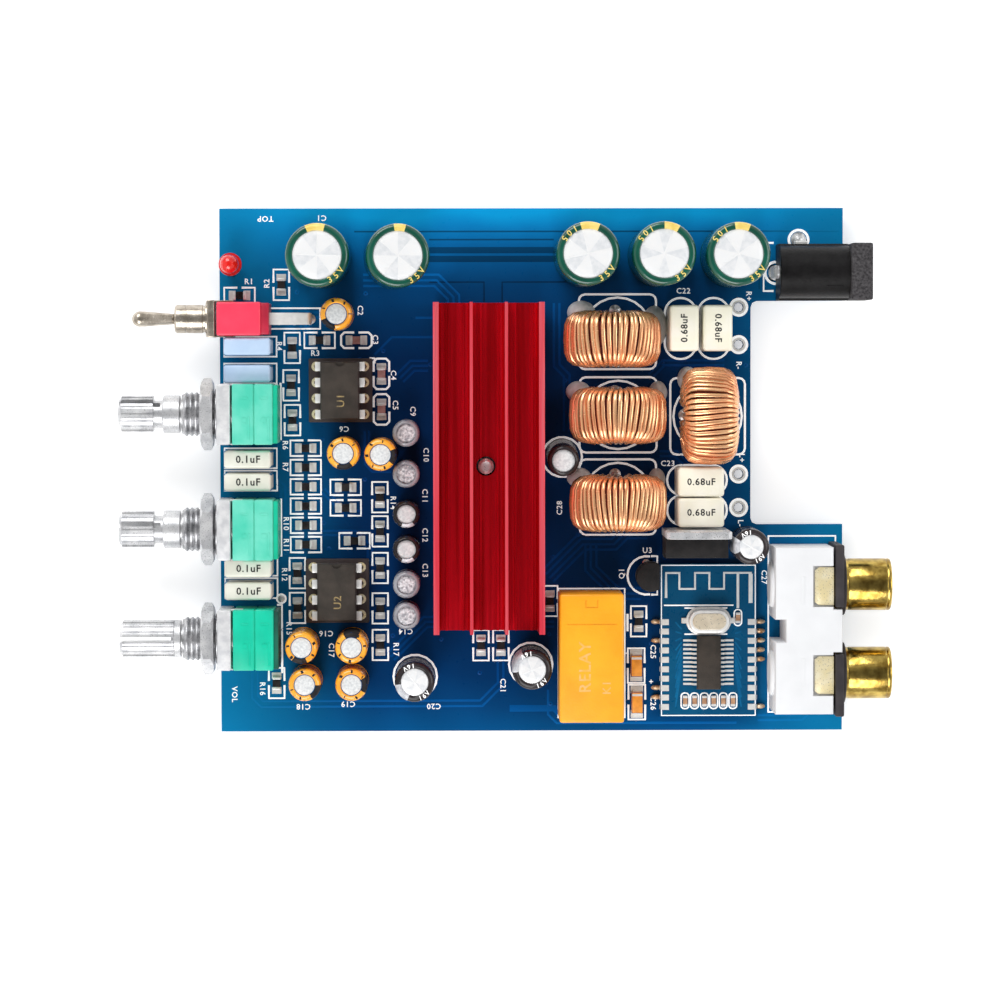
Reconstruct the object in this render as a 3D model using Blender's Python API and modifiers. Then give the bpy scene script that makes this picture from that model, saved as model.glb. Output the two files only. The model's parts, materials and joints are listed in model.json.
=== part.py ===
"""Stereo audio amplifier board with tone controls, a heatsink and its sockets, at real size.

Sizes are in millimetres. X runs from the controls to the sockets, Y across the board, Z up.
Inside the assembly, X and Y are counted from the middle of the board and Z from its top face.
An empty carries the assembly, so that its underside rests on Z = 0 and its box is centred.
"""

import math

import bmesh
import bpy
from mathutils import Matrix, Vector

MM = 0.001

# Clearances
SEAT_GAP = 0.3  # between a piece and what it is seated on or soldered to
RUNNING_GAP = 0.3  # round a shaft or a lever that turns
SINK = 0.1  # how far a piece that is fused to another reaches into it

# Circuit board
BOARD_LENGTH = 100.0
BOARD_WIDTH = 84.0
BOARD_THICKNESS = 1.6
NOTCH_DEPTH = 14.8  # the step cut out of the right edge
NOTCH_LOW_Y = -0.1048 * BOARD_WIDTH
NOTCH_HIGH_Y = 0.3226 * BOARD_WIDTH
NOTCH_RADIUS = 1.0
LEFT_EDGE = -BOARD_LENGTH / 2
RIGHT_EDGE = BOARD_LENGTH / 2


def places(*shares):
    """Places in millimetres from shares of the board's length and width, counted from its middle."""
    return [(x * BOARD_LENGTH, y * BOARD_WIDTH, *rest) for x, y, *rest in shares]


def rows(*shares):
    return [share * BOARD_WIDTH for share in shares]


SPEAKER_PAD_HOLE = 1.5
SPEAKER_PAD_MARGIN = 1.9  # from the step in the board to the middle of a pad
SPEAKER_PAD_X = RIGHT_EDGE - NOTCH_DEPTH - SPEAKER_PAD_MARGIN
SPEAKER_PAD_YS = rows(0.3107, 0.2393, -0.0083, -0.0726)

# Solder joints and leads
SOLDER_HEIGHT = 1.5
SOLDER_RADIUS = 0.95
SOLDER_TIP_RADIUS = 0.4
SOLDER_SIDES = 5
LEAD_WIDTH = 0.6

# Chip components, soldered flat
CHIP_LENGTH = 2.0
CHIP_WIDTH = 1.25
CHIP_HEIGHT = 0.55
TANTALUM_LENGTH = 3.4
TANTALUM_WIDTH = 1.8
TANTALUM_HEIGHT = 1.8
TANTALUM_PLACES = places((0.168, -0.375), (0.169, -0.4452))

# Heatsink
SINK_X = -0.07 * BOARD_LENGTH
SINK_Y = 0.0083 * BOARD_WIDTH
SINK_WIDTH = 17.5
SINK_LENGTH = 52.2
SINK_BASE = 3.5
SINK_FIN_HEIGHT = 10.0
SINK_OUTER_FIN = 0.95
SINK_INNER_FIN = 0.65
SINK_FIN_TAPER = 0.2
SINK_FINS = 4
SINK_RIB_OFFSET = 1.2
SINK_RIB_WIDTH = 0.4
SINK_RIB_HEIGHT = 0.6
SCREW_X = -0.074 * BOARD_LENGTH
SCREW_Y = 0.0095 * BOARD_WIDTH
SCREW_DIAMETER = 2.5
SCREW_HEAD_DIAMETER = 4.6
SCREW_HEAD_HEIGHT = 1.1
SCREW_STAND = 1.6  # how far its tip stands above the floor of the heatsink
SCREW_RECESS = 0.5
SCREW_HOLE = SCREW_DIAMETER + 2 * SEAT_GAP

# Amplifier chip
AMPLIFIER_X = -0.07 * BOARD_LENGTH
AMPLIFIER_Y = 0.1071 * BOARD_WIDTH
AMPLIFIER_LENGTH = 11.0
AMPLIFIER_WIDTH = 6.2
AMPLIFIER_HEIGHT = 1.0
SINK_FLOOR = SEAT_GAP + AMPLIFIER_HEIGHT + SEAT_GAP  # underside of the heatsink

# Potentiometers: name, Y of the shaft as a share of the width, plain length, neck length, turn of the slot
POTS = (("treble", 0.1095, 2.7, 1.5, 44.0), ("bass", -0.1083, 2.7, 1.5, 20.0), ("volume", -0.3155, 1.1, 0.0, 0.0))
POT_WIDTH = 9.6
POT_HEIGHT = 11.0
POT_AXIS_HEIGHT = 6.5
POT_BRACKET_DEPTH = 2.2
POT_HOUSING_DEPTH = 7.2
POT_BACK_PLATE = 0.6
POT_EDGE = 0.25
POT_GANG_GROOVE = 0.3
POT_BUSHING_DIAMETER = 7.0
POT_BUSHING_LENGTH = 5.6
POT_NUT_FLATS = 10.0
POT_NUT_THICKNESS = 2.0
POT_NUT_CHAMFER = 0.45
POT_NUT_GAP = 0.6
POT_NUT_SIDES = 12  # of the cone that turns the corners off
POT_SHAFT_DIAMETER = 6.0
POT_JOURNAL_DIAMETER = 4.5
POT_BORE = POT_JOURNAL_DIAMETER + 2 * RUNNING_GAP
POT_NECK_DIAMETER = 4.4
POT_SHAFT_REACH = 15.6  # from the bracket to the tip
POT_SHAFT_INSIDE = 3.2  # how far the journal reaches in from the face of the bracket
POT_TEETH = 14
POT_TOOTH_DEPTH = 0.35
POT_SLOT_WIDTH = 0.9
POT_PIN_PITCH = 2.5

# Toggle switch
TOGGLE_Y = 0.2893 * BOARD_WIDTH
TOGGLE_LENGTH = 8.3
TOGGLE_WIDTH = 5.3
TOGGLE_HEIGHT = 8.6
TOGGLE_CAP_LENGTH = 1.3
TOGGLE_FRAME_THICKNESS = 1.2
TOGGLE_FRAME_MARGIN = 0.3
TOGGLE_BUSHING_DIAMETER = 4.6
TOGGLE_BUSHING_LENGTH = 5.3
TOGGLE_LEVER_LENGTH = 8.4
TOGGLE_LEVER_TIP = 2.5
TOGGLE_LEVER_ROOT = 1.9
TOGGLE_BALL_DIAMETER = 2.7
TOGGLE_PIVOT_DEPTH = 1.5  # of the lever's pivot behind the mouth of the bushing
TOGGLE_THROW = 25.0
TOGGLE_PIN_PITCH = 2.54
TOGGLE_PIN_WIDTH = 0.9
TOGGLE_PIN_THICKNESS = 0.4
TOGGLE_FIRST_PIN = 1.2  # from the back of the body to the nearest pin
TOGGLE_TERMINAL_RISE = 2.3  # between one terminal and the next
TOGGLE_EDGE = 0.3
TOGGLE_ARM = 3.0  # of the lever behind its pivot
TOGGLE_SIDES = 8

# Power light
LED_Y = 0.3929 * BOARD_WIDTH
LED_EDGE = 1.9  # from the left edge of the board to its axis
LED_DIAMETER = 3.0
LED_RIM_DIAMETER = 3.7
LED_RIM_HEIGHT = 1.0
LED_HEIGHT = 5.0
LED_STAND = 2.4
LED_LEAD_PITCH = 2.54

# Upright electrolytic capacitors
CAN_GROOVE = 0.35  # depth of the bead round the foot
CAN_FOOT = 1.3  # from the board to the bead
CAN_EDGE = 0.5  # width of the rolled sleeve on the top
CAN_SIDES = 10
CAN_LIP = 0.25  # how far the metal lies below the sleeve
RESERVOIR_DIAMETER = 10.0
RESERVOIR_HEIGHT = 17.0
RESERVOIR_PLACES = places(
    (-0.338, 0.406, 0.0), (-0.219, 0.4048, 2.5), (0.085, 0.4083, 0.0), (0.204, 0.4083, 0.0),
    (0.32, 0.4071, 0.0),
)
SMOOTHING_HEIGHT = 11.0
SMOOTHING_DIAMETER = 6.3
SLIM_DIAMETER = 5.0
REGULATOR_CAN_DIAMETER = 5.7
SMOOTHING_PLACES = places(
    (-0.188, -0.3952, SMOOTHING_DIAMETER, 0.0), (-0.002, -0.3726, SMOOTHING_DIAMETER, 0.0),
    (0.048, 0.0321, SLIM_DIAMETER, 5.0), (0.345, -0.1417, REGULATOR_CAN_DIAMETER, 0.0),
)
ORANGE_DIAMETER = 5.0
ORANGE_HEIGHT = 11.0
ORANGE_PLACES = places(
    (-0.31, 0.2976), (-0.3, 0.0357), (-0.241, 0.0333), (-0.367, -0.3298), (-0.288, -0.3298), (-0.362, -0.4),
    (-0.288, -0.4),
)
SMALL_DIAMETER = 4.2
SMALL_HEIGHT = 7.0
SMALL_X = -0.201 * BOARD_LENGTH
SMALL_YS = rows(0.0726, -0.0048, -0.081, -0.1476, -0.2143, -0.2738)
SMALL_SIDES = 8

# Film capacitors
FILTER_LENGTH = 7.3
FILTER_WIDTH = 4.6
FILTER_HEIGHT = 10.0
FILTER_EDGE = 0.4
FILTER_PLACES = places(
    (0.2395, 0.2702, 90.0), (0.2925, 0.2702, 90.0), (0.266, -0.0196, 0.0), (0.266, -0.0774, 0.0),
)
FILM_LENGTH = 7.4
FILM_WIDTH = 2.7
FILM_HEIGHT = 8.5
FILM_EDGE = 0.4
FILM_X = -0.452 * BOARD_LENGTH
FILM_YS = rows(0.2369, 0.1857, 0.0238, -0.019, -0.1821, -0.225)

# Chokes: ring core and winding
CHOKE_PLACES = places((0.126, 0.25, 0.0), (0.135, 0.106, 0.0), (0.135, -0.0595, 0.0), (0.28, 0.1048, 90.0))
CHOKE_CORE_DIAMETER = 13.3
CHOKE_CORE_BORE = 7.9
CHOKE_CORE_THICKNESS = 5.6
CHOKE_WIRE_DIAMETER = 1.0
CHOKE_TURNS = 18
CHOKE_OPEN_ANGLE = 34.0  # left bare at the foot, between the two ends of the wire
CHOKE_LIFT = 0.5  # of the lowest wire above the board
CHOKE_LEAD_PITCH = 6.8
CHOKE_CORE_SIDES = 12

# DC jack
JACK_Y = 0.3762 * BOARD_WIDTH
JACK_WIDTH = 9.0
JACK_AXIS_HEIGHT = 6.3
JACK_FLANGE_HEIGHT = 11.0
JACK_FLANGE_THICKNESS = 3.4
JACK_BODY_LENGTH = 11.1
JACK_OVERHANG = 3.7  # past the right edge of the board
JACK_BORE = 6.3
JACK_BORE_DEPTH = 10.0
JACK_PIN_DIAMETER = 2.1
JACK_PIN_RECESS = 0.8
JACK_TAB_WIDTH = 2.0
JACK_TAB_THICKNESS = 0.5
JACK_EDGE = 0.4
JACK_SHOULDER = 5.6  # height at which the sides of the body end
JACK_SIDE_TAB = 3.9  # of the side tab from the back of the body

# Double phono socket
RCA_PITCH = 14.1
RCA_Y = -0.2994 * BOARD_WIDTH  # middle between the two sockets
RCA_AXIS_HEIGHT = 6.8
RCA_HOUSING_WIDTH = 26.4
RCA_HOUSING_DEPTH = 9.2
RCA_HOUSING_HEIGHT = 12.4
RCA_FRONT_SETBACK = 2.6  # of the housing's front from the edge of the board
RCA_BRIDGE_WIDTH = 6.8
RCA_BRIDGE_DEPTH = 1.4
RCA_RECESS_WIDTH = 3.6
RCA_RECESS_DEPTH = 1.7
RCA_BACK_RADIUS = 3.6
RCA_BACK_DEPTH = 0.6
RCA_SHELL_DIAMETER = 8.3
RCA_SHELL_WALL = 0.6
RCA_SHELL_REACH = 9.5  # from the housing's front to the tip
RCA_TONGUE_WIDTH = 6.0
RCA_TONGUE_LENGTH = 3.0
RCA_TONGUE_THICKNESS = 0.4
RCA_FLANGE_DIAMETER = 9.8
RCA_FLANGE_THICKNESS = 0.5
RCA_PLATE_MARGIN = 0.4  # of the plates past the ends of the housing
RCA_WEB = 0.4  # thickness of the strap that joins a shell and its tongue
RCA_TONGUE_HEIGHT = 11.8
RCA_SLEEVE_REACH = 8.6
RCA_EDGE = 0.4
RCA_CONTACT_BORE = 3.2
RCA_CONTACT_WALL = 0.4
RCA_CONTACT_RECESS = 0.6
RCA_CONTACT_START = 0.6
RCA_CONTACT_DIAMETER = RCA_CONTACT_BORE + 2 * RCA_CONTACT_WALL
RCA_SLEEVE_DIAMETER = RCA_SHELL_DIAMETER - 2 * RCA_SHELL_WALL - 2 * SEAT_GAP

# Regulator, transistor and relay
REGULATOR_X = 0.259 * BOARD_LENGTH
REGULATOR_Y = -0.1238 * BOARD_WIDTH  # where its body meets its tab
REGULATOR_WIDTH = 10.2
REGULATOR_BODY_DEPTH = 3.4
REGULATOR_TAB_DEPTH = 1.2
REGULATOR_BODY_HEIGHT = 9.0
REGULATOR_TAB_HEIGHT = 15.4
REGULATOR_STAND = 1.8
REGULATOR_HOLE = 3.7
REGULATOR_EDGE = 0.3
REGULATOR_LEAD_PITCH = 2.54
TRANSISTOR_X = 0.189 * BOARD_LENGTH
TRANSISTOR_Y = -0.2012 * BOARD_WIDTH
TRANSISTOR_DIAMETER = 4.7
TRANSISTOR_DEPTH = 3.7
TRANSISTOR_HEIGHT = 4.6
TRANSISTOR_STAND = 2.0
TRANSISTOR_LEAD_PITCH = 1.9
RELAY_X = 0.092 * BOARD_LENGTH
RELAY_Y = -0.35 * BOARD_WIDTH
RELAY_WIDTH = 10.2
RELAY_LENGTH = 20.4
RELAY_HEIGHT = 12.0
RELAY_EDGE = 0.5
RELAY_BASE = 1.2

# Wireless module
WIRELESS_X = 0.2835 * BOARD_LENGTH
WIRELESS_Y = -0.3262 * BOARD_WIDTH
WIRELESS_WIDTH = 15.5
WIRELESS_LENGTH = 24.6
WIRELESS_THICKNESS = 1.0
WIRELESS_CHIP_WIDTH = 3.9
WIRELESS_CHIP_LENGTH = 8.7
WIRELESS_CHIP_HEIGHT = 1.4
WIRELESS_CHIP_Y = -3.5  # from the middle of the module
WIRELESS_CHIP_EDGE = 0.25
CRYSTAL_LENGTH = 6.6
CRYSTAL_WIDTH = 3.8
CRYSTAL_HEIGHT = 2.6
CRYSTAL_Y = 3.2  # from the middle of the module
CRYSTAL_RIM = 0.35

# Round-contact sockets and the chips in them
OPAMP_PLACES = places((-0.306, 0.1536), (-0.312, -0.2286))
SOCKET_LENGTH = 10.2
SOCKET_HEIGHT = 2.8
SOCKET_RAIL = 2.5
SOCKET_BRIDGE = 2.0
PIN_PITCH = 2.54
ROW_SPACING = 7.62
SOCKET_SLOT_DEPTH = 2.0
OPAMP_WIDTH = 6.3
OPAMP_LENGTH = 9.3
OPAMP_HEIGHT = 3.2
OPAMP_STAND = 1.05
OPAMP_LEG_TIP = 0.5
OPAMP_EDGE = 0.35
OPAMP_LEG_THICKNESS = 0.3
OPAMP_NOTCH = 1.0

ROUND_SIDES = 10
FINE_SIDES = 14

HOLE_FLOOR = -BOARD_THICKNESS + SEAT_GAP  # blind holes end here, above the solder
LEAD_END = HOLE_FLOOR + SEAT_GAP
JACK_FRONT = RIGHT_EDGE + JACK_OVERHANG
RCA_FRONT = RIGHT_EDGE - RCA_FRONT_SETBACK
LEFTMOST = LEFT_EDGE - POT_SHAFT_REACH
RIGHTMOST = max(JACK_FRONT, RCA_FRONT + RCA_SHELL_REACH)

for leftover in list(bpy.data.objects):
    bpy.data.objects.remove(leftover)
parts = bpy.data.collections.new("audio_amplifier_board")
tools = bpy.data.collections.new("construction")
bpy.context.scene.collection.children.link(parts)
bpy.context.scene.collection.children.link(tools)

assembly = bpy.data.objects.new("assembly", None)
assembly.location = (-(LEFTMOST + RIGHTMOST) / 2 * MM, 0, (BOARD_THICKNESS + SOLDER_HEIGHT) * MM)
parts.objects.link(assembly)

lead_holes = []  # X, Y, width in X and width in Y of each lead that enters the board
solder_joints = []  # X and Y of each large joint under the board


def material(name, colour, roughness, metallic=0.0):
    """A plain finish, made once for each name."""
    found = bpy.data.materials.get(name)
    if found:
        return found
    made = bpy.data.materials.new(name)
    made.use_nodes = True
    shader = made.node_tree.nodes["Principled BSDF"]
    shader.inputs["Base Color"].default_value = (*colour, 1.0)
    shader.inputs["Roughness"].default_value = roughness
    shader.inputs["Metallic"].default_value = metallic
    return made


SOLDER_MASK = material("blue solder mask", (0.01, 0.13, 0.36), 0.35)
RED_ANODISED = material("red anodised aluminium", (0.45, 0.01, 0.03), 0.35, 1.0)
BRIGHT_STEEL = material("bright steel", (0.66, 0.66, 0.66), 0.3, 1.0)
BLACK_PLASTIC = material("black plastic", (0.02, 0.02, 0.022), 0.5)
GREEN_PLASTIC = material("green plastic", (0.05, 0.62, 0.45), 0.4)
RED_PLASTIC = material("red plastic", (0.75, 0.06, 0.1), 0.35)
WHITE_PLASTIC = material("white plastic", (0.85, 0.85, 0.85), 0.4)
CREAM_PLASTIC = material("cream plastic", (0.82, 0.8, 0.68), 0.4)
YELLOW_PLASTIC = material("yellow plastic", (0.85, 0.45, 0.05), 0.4)
RED_LENS = material("red lens", (0.8, 0.03, 0.02), 0.15)
GREEN_SLEEVE = material("green sleeve", (0.0, 0.12, 0.08), 0.25)
BROWN_SLEEVE = material("dark sleeve", (0.06, 0.05, 0.05), 0.3)
COPPER = material("enamelled copper", (0.75, 0.33, 0.15), 0.25, 1.0)
IRON_POWDER = material("iron powder core", (0.3, 0.03, 0.02), 0.7)
GOLD = material("gold plate", (0.85, 0.65, 0.3), 0.22, 1.0)


def shape(name, bm):
    """Turns a bmesh in millimetres into a construction object in metres."""
    bmesh.ops.scale(bm, vec=(MM, MM, MM), verts=bm.verts)
    mesh = bpy.data.meshes.new(name)
    bm.to_mesh(mesh)
    bm.free()
    made = bpy.data.objects.new(name, mesh)
    tools.objects.link(made)
    return made


def box(x, y, z, edge=0.0):
    """A block between pairs of limits, with its edges rounded if asked."""
    bm = bmesh.new()
    bmesh.ops.create_cube(bm, size=1.0)
    size = Matrix.Diagonal((x[1] - x[0], y[1] - y[0], z[1] - z[0], 1.0))
    middle = Matrix.Translation(((x[0] + x[1]) / 2, (y[0] + y[1]) / 2, (z[0] + z[1]) / 2))
    bmesh.ops.transform(bm, matrix=middle @ size, verts=bm.verts)
    if edge:
        bmesh.ops.bevel(bm, geom=bm.edges[:], offset=edge, segments=1, profile=0.5, affect="EDGES")
    return shape("box", bm)


def span(middle, width):
    """The two limits of a width about its middle."""
    return (middle - width / 2, middle + width / 2)


def cone(low_radius, high_radius, z, at=(0.0, 0.0), sides=ROUND_SIDES):
    """An upright cone or cylinder."""
    bm = bmesh.new()
    bmesh.ops.create_cone(
        bm, cap_ends=True, segments=sides, radius1=low_radius, radius2=high_radius, depth=z[1] - z[0]
    )
    bmesh.ops.translate(bm, vec=(at[0], at[1], (z[0] + z[1]) / 2), verts=bm.verts)
    return shape("cone", bm)


def turned(profile, sides=ROUND_SIDES, closed=False):
    """A profile of radius and height, running down its outer side, turned about Z."""
    mesh = bpy.data.meshes.new("profile")
    points = [(radius * MM, 0.0, height * MM) for radius, height in profile]
    edges = [(i, i + 1) for i in range(len(points) - 1)]
    if closed:
        edges.append((len(points) - 1, 0))
    mesh.from_pydata(points, edges, [])
    made = bpy.data.objects.new("turned", mesh)
    tools.objects.link(made)
    screw = made.modifiers.new("Turn", "SCREW")
    screw.steps = sides
    screw.render_steps = sides
    screw.use_merge_vertices = True
    screw.merge_threshold = 1e-6
    screw.use_smooth_shade = False
    return made


def extruded(outline, z):
    """A flat outline in X and Y, given a thickness along Z."""
    curve = bpy.data.curves.new("outline", "CURVE")
    curve.dimensions = "2D"
    curve.fill_mode = "BOTH"
    curve.extrude = (z[1] - z[0]) / 2 * MM
    spline = curve.splines.new("POLY")
    spline.points.add(len(outline) - 1)
    for point, (x, y) in zip(spline.points, outline):
        point.co = (x * MM, y * MM, 0.0, 1.0)
    spline.use_cyclic_u = True
    drawn = bpy.data.objects.new("outline", curve)
    tools.objects.link(drawn)
    bpy.context.view_layer.update()
    graph = bpy.context.evaluated_depsgraph_get()
    mesh = bpy.data.meshes.new_from_object(drawn.evaluated_get(graph))
    bm = bmesh.new()
    bm.from_mesh(mesh)
    bmesh.ops.remove_doubles(bm, verts=bm.verts, dist=1e-7)
    bmesh.ops.translate(bm, vec=(0, 0, (z[0] + z[1]) / 2 * MM), verts=bm.verts)
    bmesh.ops.recalc_face_normals(bm, faces=bm.faces)
    bm.to_mesh(mesh)
    bm.free()
    made = bpy.data.objects.new("extruded", mesh)
    tools.objects.link(made)
    made.matrix_world = drawn.matrix_world
    bpy.data.objects.remove(drawn)
    return made


def turn(tool, degrees, axis, about=(0.0, 0.0, 0.0)):
    """Turns a shape about a line through a point, in its mesh."""
    middle = Vector(about) * MM
    turning = Matrix.Translation(middle) @ Matrix.Rotation(math.radians(degrees), 4, axis)
    tool.data.transform(turning @ Matrix.Translation(-middle))
    return tool


def joined(shapes):
    """Puts shapes that don't meet into one object, to be fused or cut in one step."""
    bm = bmesh.new()
    for one in shapes:
        bm.from_mesh(one.data)
        bpy.data.objects.remove(one)
    mesh = bpy.data.meshes.new("joined")
    bm.to_mesh(mesh)
    bm.free()
    made = bpy.data.objects.new("joined", mesh)
    tools.objects.link(made)
    return made


def combine(piece, operation, tool):
    """Fuses a shape to a piece or cuts it out, and hides the shape."""
    tool.parent = piece
    tool.hide_render = True
    tool.display_type = "WIRE"
    step = piece.modifiers.new(operation.title(), "BOOLEAN")
    step.operation = operation
    step.solver = "EXACT"
    step.object = tool


def piece(name, base, finish, at=(0.0, 0.0, 0.0), turned_by=(0.0, 0.0, 0.0), fused=(), cut=()):
    """Makes a shape into a named part of the assembly, with what is fused to it and cut from it."""
    base.name = name
    base.data.name = name
    tools.objects.unlink(base)
    parts.objects.link(base)
    base.parent = assembly
    base.location = Vector(at) * MM
    base.rotation_euler = [math.radians(angle) for angle in turned_by]
    base.data.materials.append(finish)
    for tool in fused:
        combine(base, "UNION", tool)
    for tool in cut:
        combine(base, "DIFFERENCE", tool)
    return base


def arc(middle, radius, start, end, steps):
    """Points along an arc, with angles in degrees."""
    angles = [math.radians(start + (end - start) * i / steps) for i in range(steps + 1)]
    return [(middle[0] + radius * math.cos(a), middle[1] + radius * math.sin(a)) for a in angles]


def lead(x, y, top, width_x=LEAD_WIDTH, width_y=LEAD_WIDTH, at=(0.0, 0.0)):
    """A straight lead of a piece that stands at a place on the board, with its hole and its joint."""
    lead_holes.append((at[0] + x, at[1] + y, width_x, width_y))
    solder_joints.append((at[0] + x, at[1] + y))
    return box(span(x, width_x), span(y, width_y), (LEAD_END, top))


def chip(x, y, upright):
    """A chip component, soldered flat."""
    size = (CHIP_WIDTH, CHIP_LENGTH) if upright else (CHIP_LENGTH, CHIP_WIDTH)
    return box(span(x, size[0]), span(y, size[1]), (-SINK, CHIP_HEIGHT))


def chip_places():
    """X, Y and whether it lies across the board, for each chip component."""
    shares = [(-0.363, 0.0429 - 0.0369 * row, False) for row in range(6)]
    shares += [(-0.468, 0.3345, False), (-0.34, 0.2488, False), (-0.281, 0.2488, False)]
    shares += [(-0.299, -0.0321, False), (-0.299, -0.0714, False), (-0.285, -0.1345, False)]
    shares += [(-0.401, 0.3548, True), (-0.384, 0.2345, True), (-0.386, 0.1631, True), (-0.384, 0.0964, True)]
    shares += [(-0.241, 0.1845, True), (-0.241, 0.1167, True), (-0.244, -0.0512, True), (-0.244, -0.1167, True)]
    shares += [(-0.244, -0.1869, True), (-0.244, -0.2643, True), (-0.244, -0.3345, True)]
    shares += [(-0.377, -0.1964, True), (-0.377, -0.2631, True), (-0.411, -0.4071, True)]
    shares += [(-0.082, -0.3357, True), (-0.05, -0.3357, True), (0.029, -0.2512, True), (0.172, -0.2905, True)]
    return places(*shares)


def small_can(diameter, height, x, y):
    """A small upright capacitor, fused to the board."""
    return cone(diameter / 2, diameter / 2, (-SINK, height), (x, y), SMALL_SIDES)


def film_capacitor(x, y):
    """A small film capacitor fused to the board, with its top edges rounded."""
    bm = bmesh.new()
    bmesh.ops.create_cube(bm, size=1.0)
    bmesh.ops.scale(bm, vec=(FILM_LENGTH, FILM_WIDTH, FILM_HEIGHT + SINK), verts=bm.verts)
    bmesh.ops.translate(bm, vec=(x, y, (FILM_HEIGHT - SINK) / 2), verts=bm.verts)
    top = [edge for edge in bm.edges if all(corner.co.z > 0 for corner in edge.verts)]
    bmesh.ops.bevel(bm, geom=top, offset=FILM_EDGE, segments=1, profile=0.5, affect="EDGES")
    return shape("film", bm)


def lay_along_x(tool, height=0.0, y=0.0, outwards=-1):
    """Lays a shape that was made about Z along the X axis, pointing outwards, at a height."""
    tool.rotation_euler = (0.0, math.radians(90.0 * outwards), 0.0)
    tool.location = Vector((0.0, y, height)) * MM
    return tool


def drilled(diameter, z, sides=ROUND_SIDES):
    """A straight drill of a diameter, about Z."""
    return cone(diameter / 2, diameter / 2, z, sides=sides)


def make_pot_bracket(name, y):
    bushing = POT_BUSHING_DIAMETER / 2
    plate = box((0.0, POT_BRACKET_DEPTH), span(0.0, POT_WIDTH), (SEAT_GAP, POT_HEIGHT), POT_EDGE)
    barrel = turned([
        (0.0, POT_BUSHING_LENGTH), (bushing - POT_EDGE, POT_BUSHING_LENGTH),
        (bushing, POT_BUSHING_LENGTH - POT_EDGE), (bushing, -SINK), (0.0, -SINK),
    ])
    bore = drilled(POT_BORE, (-POT_BRACKET_DEPTH * 2, POT_BUSHING_LENGTH * 2))
    piece(
        f"{name}_pot_bracket", plate, BRIGHT_STEEL, (LEFT_EDGE, y, 0.0),
        fused=[lay_along_x(barrel, POT_AXIS_HEIGHT)], cut=[lay_along_x(bore, POT_AXIS_HEIGHT)],
    )


def make_pot_housing(name, y):
    """Two gangs with a groove between them, a back plate, and a pocket for the end of the shaft."""
    start = POT_BRACKET_DEPTH + SEAT_GAP
    end = start + POT_HOUSING_DEPTH
    housing = box((start, end), span(0.0, POT_WIDTH), (SEAT_GAP, POT_HEIGHT))
    pocket = drilled(POT_BORE, (-POT_SHAFT_INSIDE - RUNNING_GAP, 0.0))
    grooves = [
        box(span(x, POT_GANG_GROOVE), span(0.0, POT_WIDTH * 2), (POT_HEIGHT - POT_GANG_GROOVE, POT_HEIGHT * 2))
        for x in ((start + end - POT_BACK_PLATE) / 2, end - POT_BACK_PLATE)
    ]
    piece(
        f"{name}_pot_housing", housing, GREEN_PLASTIC, (LEFT_EDGE, y, 0.0),
        cut=[lay_along_x(pocket, POT_AXIS_HEIGHT), joined(grooves)],
    )
    for row in (-1, 0, 1):
        solder_joints.append((LEFT_EDGE + (start + end) / 2, y + row * POT_PIN_PITCH))


def make_pot_nut(name, y):
    """A hexagon with its corners turned off, one flat uppermost."""
    corner = POT_NUT_FLATS / math.cos(math.radians(30.0)) / 2
    low, high = POT_NUT_GAP, POT_NUT_GAP + POT_NUT_THICKNESS
    inner = corner - POT_NUT_CHAMFER * 1.7
    rounding = turned([
        (0.0, high), (inner, high), (corner, high - POT_NUT_CHAMFER), (corner, low + POT_NUT_CHAMFER),
        (inner, low), (0.0, low),
    ], POT_NUT_SIDES)
    hexagon = cone(corner, corner, (low, high), sides=6)
    hole = drilled(POT_BUSHING_DIAMETER + 2 * SEAT_GAP, (-high, high * 2))
    nut = piece(
        f"{name}_pot_nut", hexagon, BRIGHT_STEEL, (LEFT_EDGE, y, POT_AXIS_HEIGHT), (0.0, -90.0, 0.0)
    )
    combine(nut, "INTERSECT", rounding)
    combine(nut, "DIFFERENCE", hole)


def make_pot_shaft(name, y, plain, neck, slot_angle):
    """A journal in the bushing, a plain stretch, a neck where there is one, and a split knurled end."""
    outer = POT_SHAFT_DIAMETER / 2
    valley = outer - POT_TOOTH_DEPTH
    journal = POT_JOURNAL_DIAMETER / 2
    plain_low = POT_BUSHING_LENGTH + RUNNING_GAP
    plain_high = plain_low + plain
    knurl_low = plain_high + neck
    waist = POT_NECK_DIAMETER / 2 if neck else valley - SINK
    teeth = [
        ((valley if step % 2 else outer) * math.cos(math.pi * step / POT_TEETH),
         (valley if step % 2 else outer) * math.sin(math.pi * step / POT_TEETH))
        for step in range(POT_TEETH * 2)
    ]
    stem = turned([
        (0.0, knurl_low + SINK), (waist, knurl_low + SINK), (waist, plain_high), (outer, plain_high),
        (outer, plain_low), (journal, plain_low), (journal, -POT_SHAFT_INSIDE), (0.0, -POT_SHAFT_INSIDE),
    ])
    slot = box(span(0.0, POT_SLOT_WIDTH), span(0.0, outer * 4), (plain_high, POT_SHAFT_REACH * 2))
    piece(
        f"{name}_pot_shaft", extruded(teeth, (knurl_low, POT_SHAFT_REACH)), BRIGHT_STEEL,
        (LEFT_EDGE, y, POT_AXIS_HEIGHT), (0.0, -90.0, 0.0),
        fused=[stem], cut=[turn(slot, 90.0 + slot_angle, "Z")],
    )


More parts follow.
